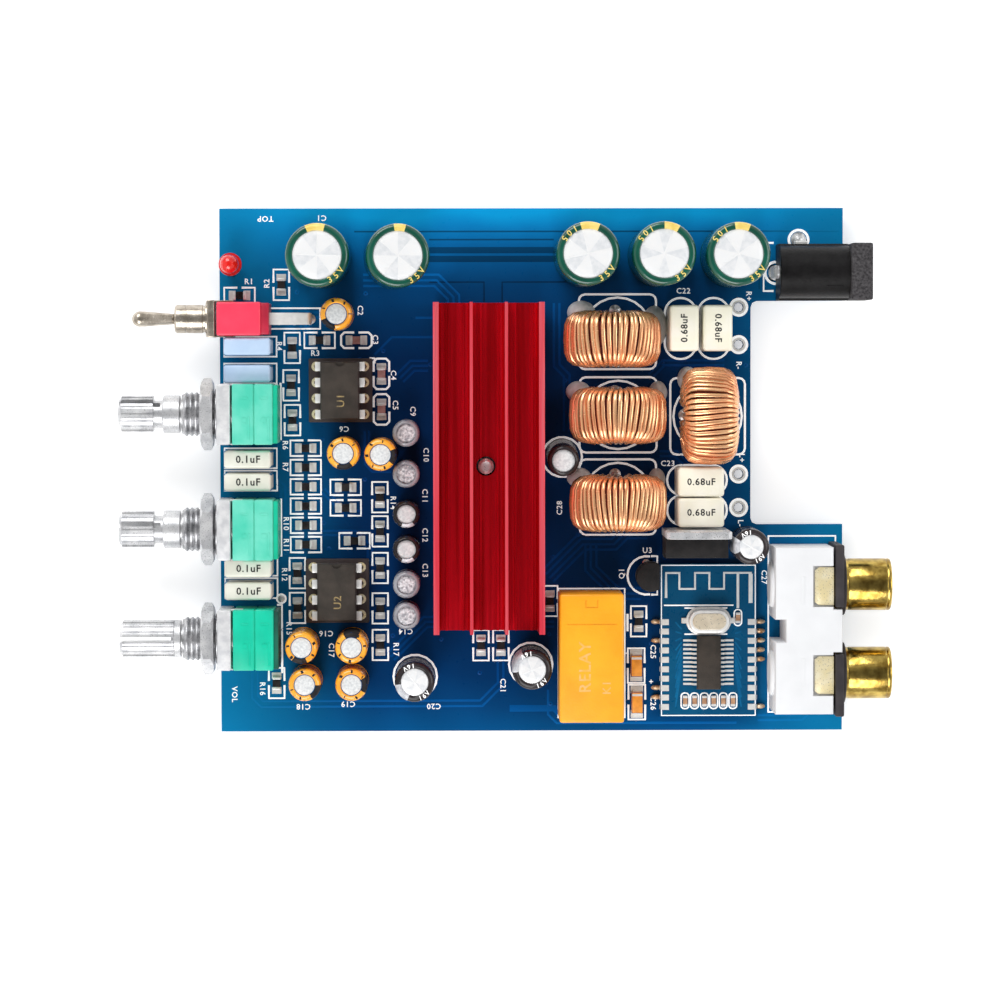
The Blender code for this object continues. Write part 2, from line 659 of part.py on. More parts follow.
def make_toggle():
    """A switch on its side: its lever points past the edge and flips up and down."""
    at = (LEFT_EDGE, TOGGLE_Y, 0.0)
    axis = SEAT_GAP + TOGGLE_HEIGHT / 2
    cap_start = TOGGLE_LENGTH - TOGGLE_CAP_LENGTH
    body = box((0.0, cap_start), span(0.0, TOGGLE_WIDTH), (SEAT_GAP, SEAT_GAP + TOGGLE_HEIGHT), TOGGLE_EDGE)
    cap_margin = TOGGLE_EDGE
    cap = box(
        (cap_start - SINK, TOGGLE_LENGTH), span(0.0, TOGGLE_WIDTH - cap_margin),
        (SEAT_GAP + cap_margin, SEAT_GAP + TOGGLE_HEIGHT - cap_margin),
    )
    terminals = []
    for row in range(3):
        height = axis + (row - 1) * TOGGLE_TERMINAL_RISE
        x = TOGGLE_LENGTH + TOGGLE_FIRST_PIN + row * TOGGLE_PIN_PITCH
        half = TOGGLE_PIN_THICKNESS / 2
        bent = [
            (TOGGLE_LENGTH - TOGGLE_CAP_LENGTH / 2, height - half), (x - half, height - half),
            (x - half, LEAD_END), (x + half, LEAD_END), (x + half, height + half),
            (TOGGLE_LENGTH - TOGGLE_CAP_LENGTH / 2, height + half),
        ]
        terminals.append(turn(extruded(bent, span(0.0, TOGGLE_PIN_WIDTH)), 90.0, "X"))
        lead_holes.append((LEFT_EDGE + x, TOGGLE_Y, TOGGLE_PIN_THICKNESS, TOGGLE_PIN_WIDTH))
        solder_joints.append((LEFT_EDGE + x, TOGGLE_Y))
    piece("toggle_body", body, RED_PLASTIC, at, fused=[cap, joined(terminals)])

    back = -SEAT_GAP
    front = back - TOGGLE_FRAME_THICKNESS
    mouth = -front + TOGGLE_BUSHING_LENGTH
    frame = box(
        (front, back), span(0.0, TOGGLE_WIDTH + 2 * TOGGLE_FRAME_MARGIN),
        (SEAT_GAP, SEAT_GAP + TOGGLE_HEIGHT), TOGGLE_EDGE,
    )
    bushing = TOGGLE_BUSHING_DIAMETER / 2
    barrel = turned([
        (0.0, mouth), (bushing - TOGGLE_EDGE, mouth), (bushing, mouth - TOGGLE_EDGE),
        (bushing, -front - SINK), (0.0, -front - SINK),
    ])
    bore = drilled(TOGGLE_BALL_DIAMETER + 2 * RUNNING_GAP, (-mouth, mouth * 2))
    piece(
        "toggle_bushing", frame, BRIGHT_STEEL, at,
        fused=[lay_along_x(barrel, axis)], cut=[lay_along_x(bore, axis)],
    )

    ball, root, tip = TOGGLE_BALL_DIAMETER / 2, TOGGLE_LEVER_ROOT / 2, TOGGLE_LEVER_TIP / 2
    ball_profile = [(x, y) for y, x in arc((0.0, 0.0), ball, 45.0, 135.0, 3)]
    profile = [(x, y) for y, x in arc((TOGGLE_LEVER_LENGTH - tip, 0.0), tip, 0.0, 90.0, 3)]
    profile += [(root, ball), *ball_profile, (root * 0.7, -ball), (root * 0.7, -TOGGLE_ARM), (0.0, -TOGGLE_ARM)]
    pivot = (LEFT_EDGE - mouth + TOGGLE_PIVOT_DEPTH, TOGGLE_Y, axis)
    piece("toggle_lever", turned(profile, TOGGLE_SIDES), BRIGHT_STEEL, pivot, (0.0, -90.0 + TOGGLE_THROW / 2, 0.0))


def make_led():
    at = (LEFT_EDGE + LED_EDGE, LED_Y)
    radius, rim = LED_DIAMETER / 2, LED_RIM_DIAMETER / 2
    top = LED_STAND + LED_HEIGHT
    dome = arc((0.0, top - radius), radius, 90.0, 0.0, 3)
    profile = dome + [
        (radius, LED_STAND + LED_RIM_HEIGHT), (rim, LED_STAND + LED_RIM_HEIGHT), (rim, LED_STAND), (0.0, LED_STAND),
    ]
    leads = [lead(0.0, side * LED_LEAD_PITCH / 2, LED_STAND + SINK, at=at) for side in (-1, 1)]
    piece("power_led", turned(profile), RED_LENS, (*at, 0.0), fused=[joined(leads)])


def make_can(name, diameter, height, finish, x, y, lean_x=0.0, lean_y=0.0):
    """A capacitor that stands on the board. The leans are in degrees, towards +X and -Y."""
    radius, edge = diameter / 2, CAN_EDGE
    profile = [
        (0.0, height - CAN_LIP), (radius - edge * 1.5, height - CAN_LIP), (radius - edge, height),
        (radius, height - edge), (radius, CAN_FOOT * 2), (radius - CAN_GROOVE, CAN_FOOT), (radius, 0.0), (0.0, 0.0),
    ]
    lift = SEAT_GAP + radius * math.sin(math.radians(lean_x + lean_y))
    piece(name, turned(profile, CAN_SIDES), finish, (x, y, lift), (lean_y, lean_x, 0.0))


def winding_points(axis_height):
    """The path of the wire: over the rim, through the hole and back, in two layers inside, then its two ends."""
    wire = CHOKE_WIRE_DIAMETER / 2
    rim = CHOKE_CORE_DIAMETER / 2 + SEAT_GAP + wire
    face = CHOKE_CORE_THICKNESS / 2 + SEAT_GAP + wire
    hole = CHOKE_CORE_BORE / 2 - SEAT_GAP - wire
    layer = CHOKE_WIRE_DIAMETER * 1.1
    first = math.radians(CHOKE_OPEN_ANGLE / 2 - 90.0)
    pitch = math.radians(360.0 - CHOKE_OPEN_ANGLE) / CHOKE_TURNS
    foot = LEAD_END - axis_height
    under = -rim - SEAT_GAP
    points = [(0.0, foot, CHOKE_LEAD_PITCH / 2), (0.0, under, CHOKE_LEAD_PITCH / 2)]
    for turn_number in range(CHOKE_TURNS):
        raised = layer * (turn_number % 2)
        corners = ((rim, face), (rim, -face), (hole - raised, -face - raised), (hole - raised, face + raised))
        for quarter, (radius, depth) in enumerate(corners):
            angle = first + pitch * (turn_number + quarter / 4)
            points.append((radius * math.cos(angle), radius * math.sin(angle), depth))
    last = first + pitch * CHOKE_TURNS
    for depth in (face, -face):
        points.append((rim * math.cos(last), rim * math.sin(last), depth))
    return points + [(0.0, under, -CHOKE_LEAD_PITCH / 2), (0.0, foot, -CHOKE_LEAD_PITCH / 2)]


def make_choke(number, x, y, heading):
    """An upright ring core with its winding; heading turns it about the vertical."""
    rim = CHOKE_CORE_DIAMETER / 2 + SEAT_GAP + CHOKE_WIRE_DIAMETER
    axis_height = rim + CHOKE_LIFT
    outer, inner, half = CHOKE_CORE_DIAMETER / 2, CHOKE_CORE_BORE / 2, CHOKE_CORE_THICKNESS / 2
    at = (x, y, axis_height)
    upright = (90.0, 0.0, heading)
    ring = turned([(outer, half), (outer, -half), (inner, -half), (inner, half)], CHOKE_CORE_SIDES, closed=True)
    piece(f"choke_core_{number}", ring, IRON_POWDER, at, upright)

    curve = bpy.data.curves.new("winding", "CURVE")
    curve.dimensions = "3D"
    curve.bevel_depth = CHOKE_WIRE_DIAMETER / 2 * MM
    curve.bevel_resolution = 0
    curve.use_fill_caps = True
    points = winding_points(axis_height)
    spline = curve.splines.new("POLY")
    spline.points.add(len(points) - 1)
    for point, place in zip(spline.points, points):
        point.co = (*(Vector(place) * MM), 1.0)
    wire = bpy.data.objects.new("winding", curve)
    tools.objects.link(wire)
    piece(f"choke_winding_{number}", wire, COPPER, at, upright)
    across = Vector((0.0, CHOKE_LEAD_PITCH / 2, 0.0))
    across.rotate(Matrix.Rotation(math.radians(heading), 3, "Z"))
    for side in (-1, 1):
        hole = (x + side * across.x, y + side * across.y)
        lead_holes.append((*hole, CHOKE_WIRE_DIAMETER, CHOKE_WIRE_DIAMETER))
        solder_joints.append(hole)


def make_jack():
    """A moulded jack: square flange, body with a round back, bore, and a pin that ends in a tab behind."""
    half = JACK_WIDTH / 2
    back = -JACK_FLANGE_THICKNESS - JACK_BODY_LENGTH
    flange = box((-JACK_FLANGE_THICKNESS, 0.0), span(0.0, JACK_WIDTH), (SEAT_GAP, JACK_FLANGE_HEIGHT), JACK_EDGE)
    crown = arc((0.0, JACK_AXIS_HEIGHT), half - JACK_EDGE, 0.0, 180.0, 8)
    section = [(-half, SEAT_GAP), (half, SEAT_GAP), (half, JACK_SHOULDER), *crown, (-half, JACK_SHOULDER)]
    body = extruded(section, (back, SINK - JACK_FLANGE_THICKNESS))
    body.data.transform(Matrix(((0, 0, 1, 0), (1, 0, 0, 0), (0, 1, 0, 0), (0, 0, 0, 1))))
    x = back + JACK_SIDE_TAB
    side_y = half + JACK_TAB_THICKNESS
    tab = box(span(x, JACK_TAB_WIDTH), (half - SINK, side_y), (LEAD_END, JACK_SHOULDER / 2))
    lead_holes.append((JACK_FRONT + x, JACK_Y + (half + side_y) / 2, JACK_TAB_WIDTH, JACK_TAB_THICKNESS + 2 * SINK))
    solder_joints.append((JACK_FRONT + x, JACK_Y + side_y))
    bore = lay_along_x(drilled(JACK_BORE, (-JACK_BORE_DEPTH, JACK_BORE)), JACK_AXIS_HEIGHT, outwards=1)
    pin_hole = lay_along_x(
        drilled(JACK_PIN_DIAMETER + 2 * SEAT_GAP, (back * 2, -JACK_BORE_DEPTH / 2), 8), JACK_AXIS_HEIGHT, outwards=1
    )
    at = (JACK_FRONT, JACK_Y, 0.0)
    piece("dc_jack_housing", flange, BLACK_PLASTIC, at, fused=[body, tab], cut=[bore, pin_hole])

    radius = JACK_PIN_DIAMETER / 2
    tab_front = back - SEAT_GAP
    tab_back = tab_front - JACK_TAB_THICKNESS
    pin = turned([
        (0.0, -JACK_PIN_RECESS), (radius / 2, -JACK_PIN_RECESS), (radius, -JACK_PIN_RECESS - radius / 2),
        (radius, tab_front - SINK), (0.0, tab_front - SINK),
    ], 8)
    blade = box((tab_back, tab_front), span(0.0, JACK_TAB_WIDTH), (LEAD_END, JACK_AXIS_HEIGHT + radius))
    lead_holes.append((JACK_FRONT + (tab_back + tab_front) / 2, JACK_Y, JACK_TAB_THICKNESS, JACK_TAB_WIDTH))
    solder_joints.append((JACK_FRONT + (tab_back + tab_front) / 2, JACK_Y))
    piece("dc_jack_pin", blade, BRIGHT_STEEL, at, fused=[lay_along_x(pin, JACK_AXIS_HEIGHT, outwards=1)])


def make_rca_housing():
    """One white moulding for both sockets, with a sleeve that fills each gold shell."""
    half = RCA_HOUSING_WIDTH / 2
    back = -RCA_HOUSING_DEPTH
    block = box((back, 0.0), (-half, half), (SEAT_GAP, RCA_HOUSING_HEIGHT), RCA_EDGE)
    bridge = box((-SINK, RCA_BRIDGE_DEPTH), span(0.0, RCA_BRIDGE_WIDTH), (SEAT_GAP, RCA_HOUSING_HEIGHT - RCA_EDGE))
    recess = box((back * 2, back + RCA_RECESS_DEPTH), span(0.0, RCA_RECESS_WIDTH), (-1.0, RCA_HOUSING_HEIGHT * 2))
    housing = piece(
        "rca_housing", block, WHITE_PLASTIC, (RCA_FRONT, RCA_Y, 0.0), fused=[bridge], cut=[recess]
    )
    tongue_floor = RCA_TONGUE_HEIGHT - RCA_TONGUE_THICKNESS - SEAT_GAP
    pocket = -RCA_WEB - SEAT_GAP
    beyond = RCA_BRIDGE_DEPTH * 2
    for y in (-RCA_PITCH / 2, RCA_PITCH / 2):
        slot = span(y, RCA_TONGUE_WIDTH + 2 * SEAT_GAP)
        for start, floor in ((-RCA_TONGUE_LENGTH - SEAT_GAP, tongue_floor), (pocket, RCA_AXIS_HEIGHT)):
            combine(housing, "DIFFERENCE", box((start, beyond), slot, (floor, RCA_HOUSING_HEIGHT * 2)))
        seat = drilled(RCA_SHELL_DIAMETER + 2 * SEAT_GAP, (pocket, beyond), FINE_SIDES)
        combine(housing, "DIFFERENCE", lay_along_x(seat, RCA_AXIS_HEIGHT, y, 1))
        boss = drilled(RCA_BACK_RADIUS * 2, (back - RCA_BACK_DEPTH, back + SINK))
        combine(housing, "UNION", lay_along_x(boss, RCA_AXIS_HEIGHT, y, 1))
        sleeve = drilled(RCA_SLEEVE_DIAMETER, (pocket - SINK, RCA_SLEEVE_REACH))
        combine(housing, "UNION", lay_along_x(sleeve, RCA_AXIS_HEIGHT, y, 1))
        bore = drilled(RCA_CONTACT_DIAMETER + 2 * SEAT_GAP, (RCA_CONTACT_START - SEAT_GAP, RCA_SLEEVE_REACH * 2))
        combine(housing, "DIFFERENCE", lay_along_x(bore, RCA_AXIS_HEIGHT, y, 1))
        for x in (back / 4, back * 0.85):
            solder_joints.append((RCA_FRONT + x, RCA_Y + y))


def make_rca_socket(name, y, outwards):
    """A gold shell with its tongue, a black front plate with a flange, and a centre contact."""
    at = (RCA_FRONT, RCA_Y + y, 0.0)
    outer = RCA_SHELL_DIAMETER / 2
    tube = turned([
        (0.0, RCA_SHELL_REACH), (outer - RCA_EDGE, RCA_SHELL_REACH), (outer, RCA_SHELL_REACH - RCA_EDGE),
        (outer, -RCA_WEB), (0.0, -RCA_WEB),
    ], FINE_SIDES)
    half = RCA_TONGUE_WIDTH / 2
    web = box((-RCA_WEB, 0.0), (-half, half), (RCA_AXIS_HEIGHT, RCA_TONGUE_HEIGHT))
    tongue_low = RCA_TONGUE_HEIGHT - RCA_TONGUE_THICKNESS
    tongue = box((-RCA_TONGUE_LENGTH, -SINK), (-half, half), (tongue_low, RCA_TONGUE_HEIGHT))
    bore = drilled(RCA_SHELL_DIAMETER - 2 * RCA_SHELL_WALL, (-RCA_SHELL_REACH, RCA_SHELL_REACH * 2), FINE_SIDES)
    piece(
        f"rca_shell_{name}", web, GOLD, at,
        fused=[tongue, lay_along_x(tube, RCA_AXIS_HEIGHT, outwards=1)],
        cut=[lay_along_x(bore, RCA_AXIS_HEIGHT, outwards=1)],
    )

    plate_x = (SEAT_GAP, SEAT_GAP + RCA_BRIDGE_DEPTH)
    inner = RCA_BRIDGE_WIDTH / 2 + SEAT_GAP - RCA_PITCH / 2
    outside = RCA_HOUSING_WIDTH / 2 + RCA_PLATE_MARGIN - RCA_PITCH / 2
    limits = sorted((inner * outwards, outside * outwards))
    plate = box(plate_x, limits, (SEAT_GAP, RCA_HOUSING_HEIGHT))
    flange = drilled(RCA_FLANGE_DIAMETER, (plate_x[1] - SINK, plate_x[1] + RCA_FLANGE_THICKNESS), FINE_SIDES)
    hole = drilled(RCA_SHELL_DIAMETER + 2 * SEAT_GAP, (-RCA_SHELL_REACH, RCA_SHELL_REACH), FINE_SIDES)
    across = sorted((inner * outwards, (inner - RCA_BRIDGE_WIDTH) * outwards))
    clear = box((0.0, plate_x[1]), across, (0.0, RCA_HOUSING_HEIGHT * 2))
    piece(
        f"rca_front_plate_{name}", plate, BLACK_PLASTIC, at,
        fused=[lay_along_x(flange, RCA_AXIS_HEIGHT, outwards=1)],
        cut=[clear, lay_along_x(hole, RCA_AXIS_HEIGHT, outwards=1)],
    )

    tip = RCA_SLEEVE_REACH - RCA_CONTACT_RECESS
    contact_bore = drilled(RCA_CONTACT_BORE, (RCA_CONTACT_START + RCA_CONTACT_WALL, RCA_SLEEVE_REACH * 2))
    piece(
        f"rca_contact_{name}", drilled(RCA_CONTACT_DIAMETER, (RCA_CONTACT_START, tip)), GOLD,
        (RCA_FRONT, RCA_Y + y, RCA_AXIS_HEIGHT), (0.0, 90.0, 0.0), cut=[contact_bore],
    )


def make_regulator():
    """A regulator that stands on three leads, with its metal tab behind its body."""
    at = (REGULATOR_X, REGULATOR_Y)
    low = REGULATOR_STAND
    body = box(
        span(0.0, REGULATOR_WIDTH), (-REGULATOR_BODY_DEPTH, SINK), (low, low + REGULATOR_BODY_HEIGHT), REGULATOR_EDGE
    )
    tab = box(
        span(0.0, REGULATOR_WIDTH), (0.0, REGULATOR_TAB_DEPTH), (low + REGULATOR_EDGE, low + REGULATOR_TAB_HEIGHT)
    )
    hole = turn(drilled(REGULATOR_HOLE, span(0.0, REGULATOR_TAB_DEPTH * 8)), 90.0, "X")
    hole_height = low + (REGULATOR_BODY_HEIGHT + REGULATOR_TAB_HEIGHT) / 2
    hole.location = (0.0, 0.0, hole_height * MM)
    leads = [
        lead(step * REGULATOR_LEAD_PITCH, -REGULATOR_BODY_DEPTH / 2, low + REGULATOR_EDGE * 2, at=at)
        for step in (-1, 0, 1)
    ]
    piece("voltage_regulator", body, BLACK_PLASTIC, (*at, 0.0), fused=[tab, joined(leads)], cut=[hole])


def make_transistor():
    """A small plastic case with one flat side, on three leads."""
    at = (TRANSISTOR_X, TRANSISTOR_Y)
    radius = TRANSISTOR_DIAMETER / 2
    flat = TRANSISTOR_DEPTH - radius
    reach = math.degrees(math.acos(flat / radius))
    case = extruded(
        arc((0.0, 0.0), radius, reach, 360.0 - reach, 8), (TRANSISTOR_STAND, TRANSISTOR_STAND + TRANSISTOR_HEIGHT)
    )
    leads = [
        lead(0.0, step * TRANSISTOR_LEAD_PITCH, TRANSISTOR_STAND + SINK, at=at) for step in (-1, 0, 1)
    ]
    piece("transistor", case, BLACK_PLASTIC, (*at, 0.0), fused=[joined(leads)])


def make_relay():
    """A sealed relay: a cover on a slightly smaller base."""
    base_top = SEAT_GAP + RELAY_BASE
    cover = box(
        span(0.0, RELAY_WIDTH), span(0.0, RELAY_LENGTH), (base_top, SEAT_GAP + RELAY_HEIGHT), RELAY_EDGE
    )
    base = box(
        span(0.0, RELAY_WIDTH - RELAY_EDGE), span(0.0, RELAY_LENGTH - RELAY_EDGE), (SEAT_GAP, base_top + RELAY_EDGE)
    )
    piece("relay", cover, YELLOW_PLASTIC, (RELAY_X, RELAY_Y, 0.0), fused=[base])


def make_wireless_board():
    module = box(
        span(0.0, WIRELESS_WIDTH), span(0.0, WIRELESS_LENGTH), (SEAT_GAP, SEAT_GAP + WIRELESS_THICKNESS)
    )
    piece("wireless_board", module, SOLDER_MASK, (WIRELESS_X, WIRELESS_Y, 0.0))


def make_wireless_chip():
    bottom = SEAT_GAP + WIRELESS_THICKNESS + SEAT_GAP
    case = box(
        span(0.0, WIRELESS_CHIP_WIDTH), span(0.0, WIRELESS_CHIP_LENGTH), (bottom, bottom + WIRELESS_CHIP_HEIGHT),
        WIRELESS_CHIP_EDGE,
    )
    piece("wireless_chip", case, BLACK_PLASTIC, (WIRELESS_X, WIRELESS_Y + WIRELESS_CHIP_Y, 0.0))


def stadium(length, width, steps=4):
    """A flat outline with two straight sides and two round ends."""
    reach = (length - width) / 2
    return arc((reach, 0.0), width / 2, -90.0, 90.0, steps) + arc((-reach, 0.0), width / 2, 90.0, 270.0, steps)


def make_crystal():
    """A pressed can with a rim round its foot."""
    bottom = SEAT_GAP + WIRELESS_THICKNESS + SEAT_GAP
    can = extruded(stadium(CRYSTAL_LENGTH, CRYSTAL_WIDTH), (bottom + SINK, bottom + CRYSTAL_HEIGHT))
    rim = extruded(
        stadium(CRYSTAL_LENGTH + 2 * CRYSTAL_RIM, CRYSTAL_WIDTH + 2 * CRYSTAL_RIM), (bottom, bottom + CRYSTAL_RIM)
    )
    piece("wireless_crystal", can, BRIGHT_STEEL, (WIRELESS_X, WIRELESS_Y + CRYSTAL_Y, 0.0), fused=[rim])


def pin_rows():
    """X and Y of the eight contacts of a socket, from its middle."""
    return [(side * ROW_SPACING / 2, (row - 1.5) * PIN_PITCH) for side in (-1, 1) for row in range(4)]


def make_socket(number, x, y):
    """An open frame with eight round contacts that take the legs of a chip."""
    top = SEAT_GAP + SOCKET_HEIGHT
    width = ROW_SPACING + SOCKET_RAIL
    frame = box(span(0.0, width), span(0.0, SOCKET_LENGTH), (SEAT_GAP, top))
    window = box(
        span(0.0, ROW_SPACING - SOCKET_RAIL), span(0.0, SOCKET_LENGTH - 2 * SOCKET_BRIDGE), (-1.0, top * 2)
    )
    slots = [
        box(
            span(px, OPAMP_LEG_THICKNESS + 2 * SEAT_GAP), span(py, OPAMP_LEG_TIP + 2 * SEAT_GAP),
            (top - SOCKET_SLOT_DEPTH, top * 2),
        )
        for px, py in pin_rows()
    ]
    piece(f"opamp_socket_{number}", frame, BLACK_PLASTIC, (x, y, 0.0), cut=[window, joined(slots)])


def make_opamp(number, x, y):
    """An eight-leg chip: a case with a notch at one end, and legs bent down into the socket."""
    socket_top = SEAT_GAP + SOCKET_HEIGHT
    low = socket_top + OPAMP_STAND
    high = low + OPAMP_HEIGHT
    case = box(span(0.0, OPAMP_WIDTH), span(0.0, OPAMP_LENGTH), (low, high), OPAMP_EDGE)
    notch = cone(OPAMP_NOTCH, OPAMP_NOTCH, (high - OPAMP_EDGE, high * 2), (0.0, OPAMP_LENGTH / 2), 8)
    shoulder = (low + high) / 2
    half = OPAMP_LEG_THICKNESS / 2
    legs = []
    for side in (-1, 1):
        centre = ROW_SPACING / 2
        bend = [
            (OPAMP_WIDTH / 2 - SINK * 2, shoulder - half), (centre - half, shoulder - half),
            (centre - half, socket_top - SOCKET_SLOT_DEPTH + SEAT_GAP),
            (centre + half, socket_top - SOCKET_SLOT_DEPTH + SEAT_GAP),
            (centre + half, shoulder + half), (OPAMP_WIDTH / 2 - SINK * 2, shoulder + half),
        ]
        for row in range(4):
            made = turn(extruded(bend, span(0.0, OPAMP_LEG_TIP)), 90.0, "X")
            if side < 0:
                turn(made, 180.0, "Z")
            made.data.transform(Matrix.Translation(Vector((0.0, (row - 1.5) * PIN_PITCH, 0.0)) * MM))
            legs.append(made)
    piece(f"opamp_{number}", case, BLACK_PLASTIC, (x, y, 0.0), fused=[joined(legs)], cut=[notch])


def make_filter_capacitor(number, x, y, heading):
    case = box(
        span(0.0, FILTER_LENGTH), span(0.0, FILTER_WIDTH), (SEAT_GAP, SEAT_GAP + FILTER_HEIGHT), FILTER_EDGE
    )
    piece(f"filter_capacitor_{number}", case, CREAM_PLASTIC, (x, y, 0.0), (0.0, 0.0, heading))


def make_heatsink():
    """One extrusion: a base, four tapered fins, and two low ribs in each channel beside the fins."""
    half = SINK_WIDTH / 2
    top = SINK_BASE + SINK_FIN_HEIGHT
    thicknesses = [SINK_OUTER_FIN if fin in (0, SINK_FINS - 1) else SINK_INNER_FIN for fin in range(SINK_FINS)]
    pitch = (SINK_WIDTH - SINK_OUTER_FIN) / (SINK_FINS - 1)
    middles = [half - SINK_OUTER_FIN / 2 - pitch * fin for fin in range(SINK_FINS)]
    outline = [(-half, 0.0), (half, 0.0)]
    for fin, (middle, thick) in enumerate(zip(middles, thicknesses)):
        if fin:
            outline += rib(middle + SINK_RIB_OFFSET)
        outer_side = 0.0 if fin == 0 else SINK_FIN_TAPER / 2
        inner_side = 0.0 if fin == SINK_FINS - 1 else SINK_FIN_TAPER / 2
        if fin:
            outline.append((middle + thick / 2 + outer_side, SINK_BASE))
        outline += [(middle + thick / 2 - outer_side, top), (middle - thick / 2 + inner_side, top)]
        if fin < SINK_FINS - 1:
            outline.append((middle - thick / 2 - inner_side, SINK_BASE))
            outline += rib(middle - SINK_RIB_OFFSET)
    extrusion = turn(extruded(outline, span(0.0, SINK_LENGTH)), 90.0, "X")
    thread = cone(SCREW_HOLE / 2, SCREW_HOLE / 2, (-1.0, top), (SCREW_X - SINK_X, SCREW_Y - SINK_Y), 8)
    piece("heatsink", extrusion, RED_ANODISED, (SINK_X, SINK_Y, SINK_FLOOR), cut=[thread])


def rib(middle):
    """The four corners of a low rib, from right to left."""
    left, right = span(middle, SINK_RIB_WIDTH)
    crest = SINK_BASE + SINK_RIB_HEIGHT
    return [(right, SINK_BASE), (right, crest), (left, crest), (left, SINK_BASE)]


def make_screw():
    """The screw that comes up through the board into the heatsink, with a cross recess in its head."""
    radius = SCREW_DIAMETER / 2
    tip = SINK_FLOOR + SINK_BASE + SCREW_STAND
    head_top = -BOARD_THICKNESS - SEAT_GAP
    head_low = head_top - SCREW_HEAD_HEIGHT
    head = SCREW_HEAD_DIAMETER / 2
    shank = turned([
        (0.0, tip), (radius * 0.7, tip), (radius, tip - radius * 0.3), (radius, head_top), (head, head_top),
        (head * 0.8, head_low), (0.0, head_low),
    ])
    recess = [
        box(span(0.0, width), span(0.0, length), (head_low - 1.0, head_low + SCREW_RECESS))
        for width, length in ((SCREW_RECESS, head), (head, SCREW_RECESS))
    ]
    piece("heatsink_screw", shank, BRIGHT_STEEL, (SCREW_X, SCREW_Y, 0.0), cut=recess)


def make_amplifier_chip():
    case = box(
        span(0.0, AMPLIFIER_WIDTH), span(0.0, AMPLIFIER_LENGTH), (SEAT_GAP, SEAT_GAP + AMPLIFIER_HEIGHT)
    )
    piece("amplifier_chip", case, BLACK_PLASTIC, (AMPLIFIER_X, AMPLIFIER_Y, 0.0))


def board_outline():
    """A rectangle with a step cut out of its right edge, round in its two inner corners."""
    left, right = LEFT_EDGE, RIGHT_EDGE
    half = BOARD_WIDTH / 2
    inner = right - NOTCH_DEPTH
    r = NOTCH_RADIUS
    return [
        (left, -half), (right, -half), (right, NOTCH_LOW_Y),
        *arc((inner + r, NOTCH_LOW_Y + r), r, 270.0, 180.0, 2),
        *arc((inner + r, NOTCH_HIGH_Y - r), r, 180.0, 90.0, 2),
        (right, NOTCH_HIGH_Y), (right, half), (left, half),
    ]


def make_board():
    """The board, with what is soldered flat to it, the small parts that it carries, its joints and its holes."""
    joints = [
        turn(cone(SOLDER_RADIUS, SOLDER_TIP_RADIUS, (0.0, SOLDER_HEIGHT + SINK), sides=SOLDER_SIDES), 180.0, "X")
        for _ in solder_joints
    ]
    for joint, (x, y) in zip(joints, solder_joints):
        joint.data.transform(Matrix.Translation(Vector((x, y, SINK - BOARD_THICKNESS)) * MM))
    chips = [chip(*place) for place in chip_places()]
    tantalums = [
        box(span(x, TANTALUM_WIDTH), span(y, TANTALUM_LENGTH), (-SINK, TANTALUM_HEIGHT)) for x, y in TANTALUM_PLACES
    ]
    cans = [small_can(ORANGE_DIAMETER, ORANGE_HEIGHT, x, y) for x, y in ORANGE_PLACES]
    cans += [small_can(SMALL_DIAMETER, SMALL_HEIGHT, SMALL_X, y) for y in SMALL_YS]
    films = [film_capacitor(FILM_X, y) for y in FILM_YS]
    holes = [
        box(span(x, width_x + 2 * SEAT_GAP), span(y, width_y + 2 * SEAT_GAP), (HOLE_FLOOR, 1.0))
        for x, y, width_x, width_y in lead_holes
    ]
    through = (-BOARD_THICKNESS * 2, BOARD_THICKNESS)
    pad = SPEAKER_PAD_HOLE / 2
    holes += [cone(pad, pad, through, (SPEAKER_PAD_X, y), 8) for y in SPEAKER_PAD_YS]
    holes.append(cone(SCREW_HOLE / 2, SCREW_HOLE / 2, through, (SCREW_X, SCREW_Y), 10))
    base = extruded(board_outline(), (-BOARD_THICKNESS, 0.0))
    piece(
        "circuit_board", base, SOLDER_MASK,
        fused=[joined(joints), joined(chips + tantalums), joined(cans), joined(films)], cut=[joined(holes)],
    )


for pot_name, pot_share, plain_length, neck_length, slot_turn in POTS:
    pot_y = pot_share * BOARD_WIDTH
    make_pot_bracket(pot_name, pot_y)
    make_pot_housing(pot_name, pot_y)
    make_pot_nut(pot_name, pot_y)
    make_pot_shaft(pot_name, pot_y, plain_length, neck_length, slot_turn)
make_toggle()
make_led()
for index, (can_x, can_y, lean) in enumerate(RESERVOIR_PLACES, 1):
    make_can(f"reservoir_capacitor_{index}", RESERVOIR_DIAMETER, RESERVOIR_HEIGHT, GREEN_SLEEVE, can_x, can_y, lean)
for index, (can_x, can_y, can_width, lean) in enumerate(SMOOTHING_PLACES, 1):
    make_can(
        f"smoothing_capacitor_{index}", can_width, SMOOTHING_HEIGHT, BROWN_SLEEVE, can_x, can_y, lean_y=lean
    )
for index, choke in enumerate(CHOKE_PLACES, 1):
    make_choke(index, *choke)
for index, place in enumerate(FILTER_PLACES, 1):
    make_filter_capacitor(index, *place)
make_jack()
make_rca_housing()
make_rca_socket("upper", RCA_PITCH / 2, 1)
make_rca_socket("lower", -RCA_PITCH / 2, -1)
make_regulator()
make_transistor()
make_relay()
make_wireless_board()
make_wireless_chip()
make_crystal()
for index, (socket_x, socket_y) in enumerate(OPAMP_PLACES, 1):
    make_socket(index, socket_x, socket_y)
    make_opamp(index, socket_x, socket_y)
make_heatsink()
make_screw()
make_amplifier_chip()
make_board()
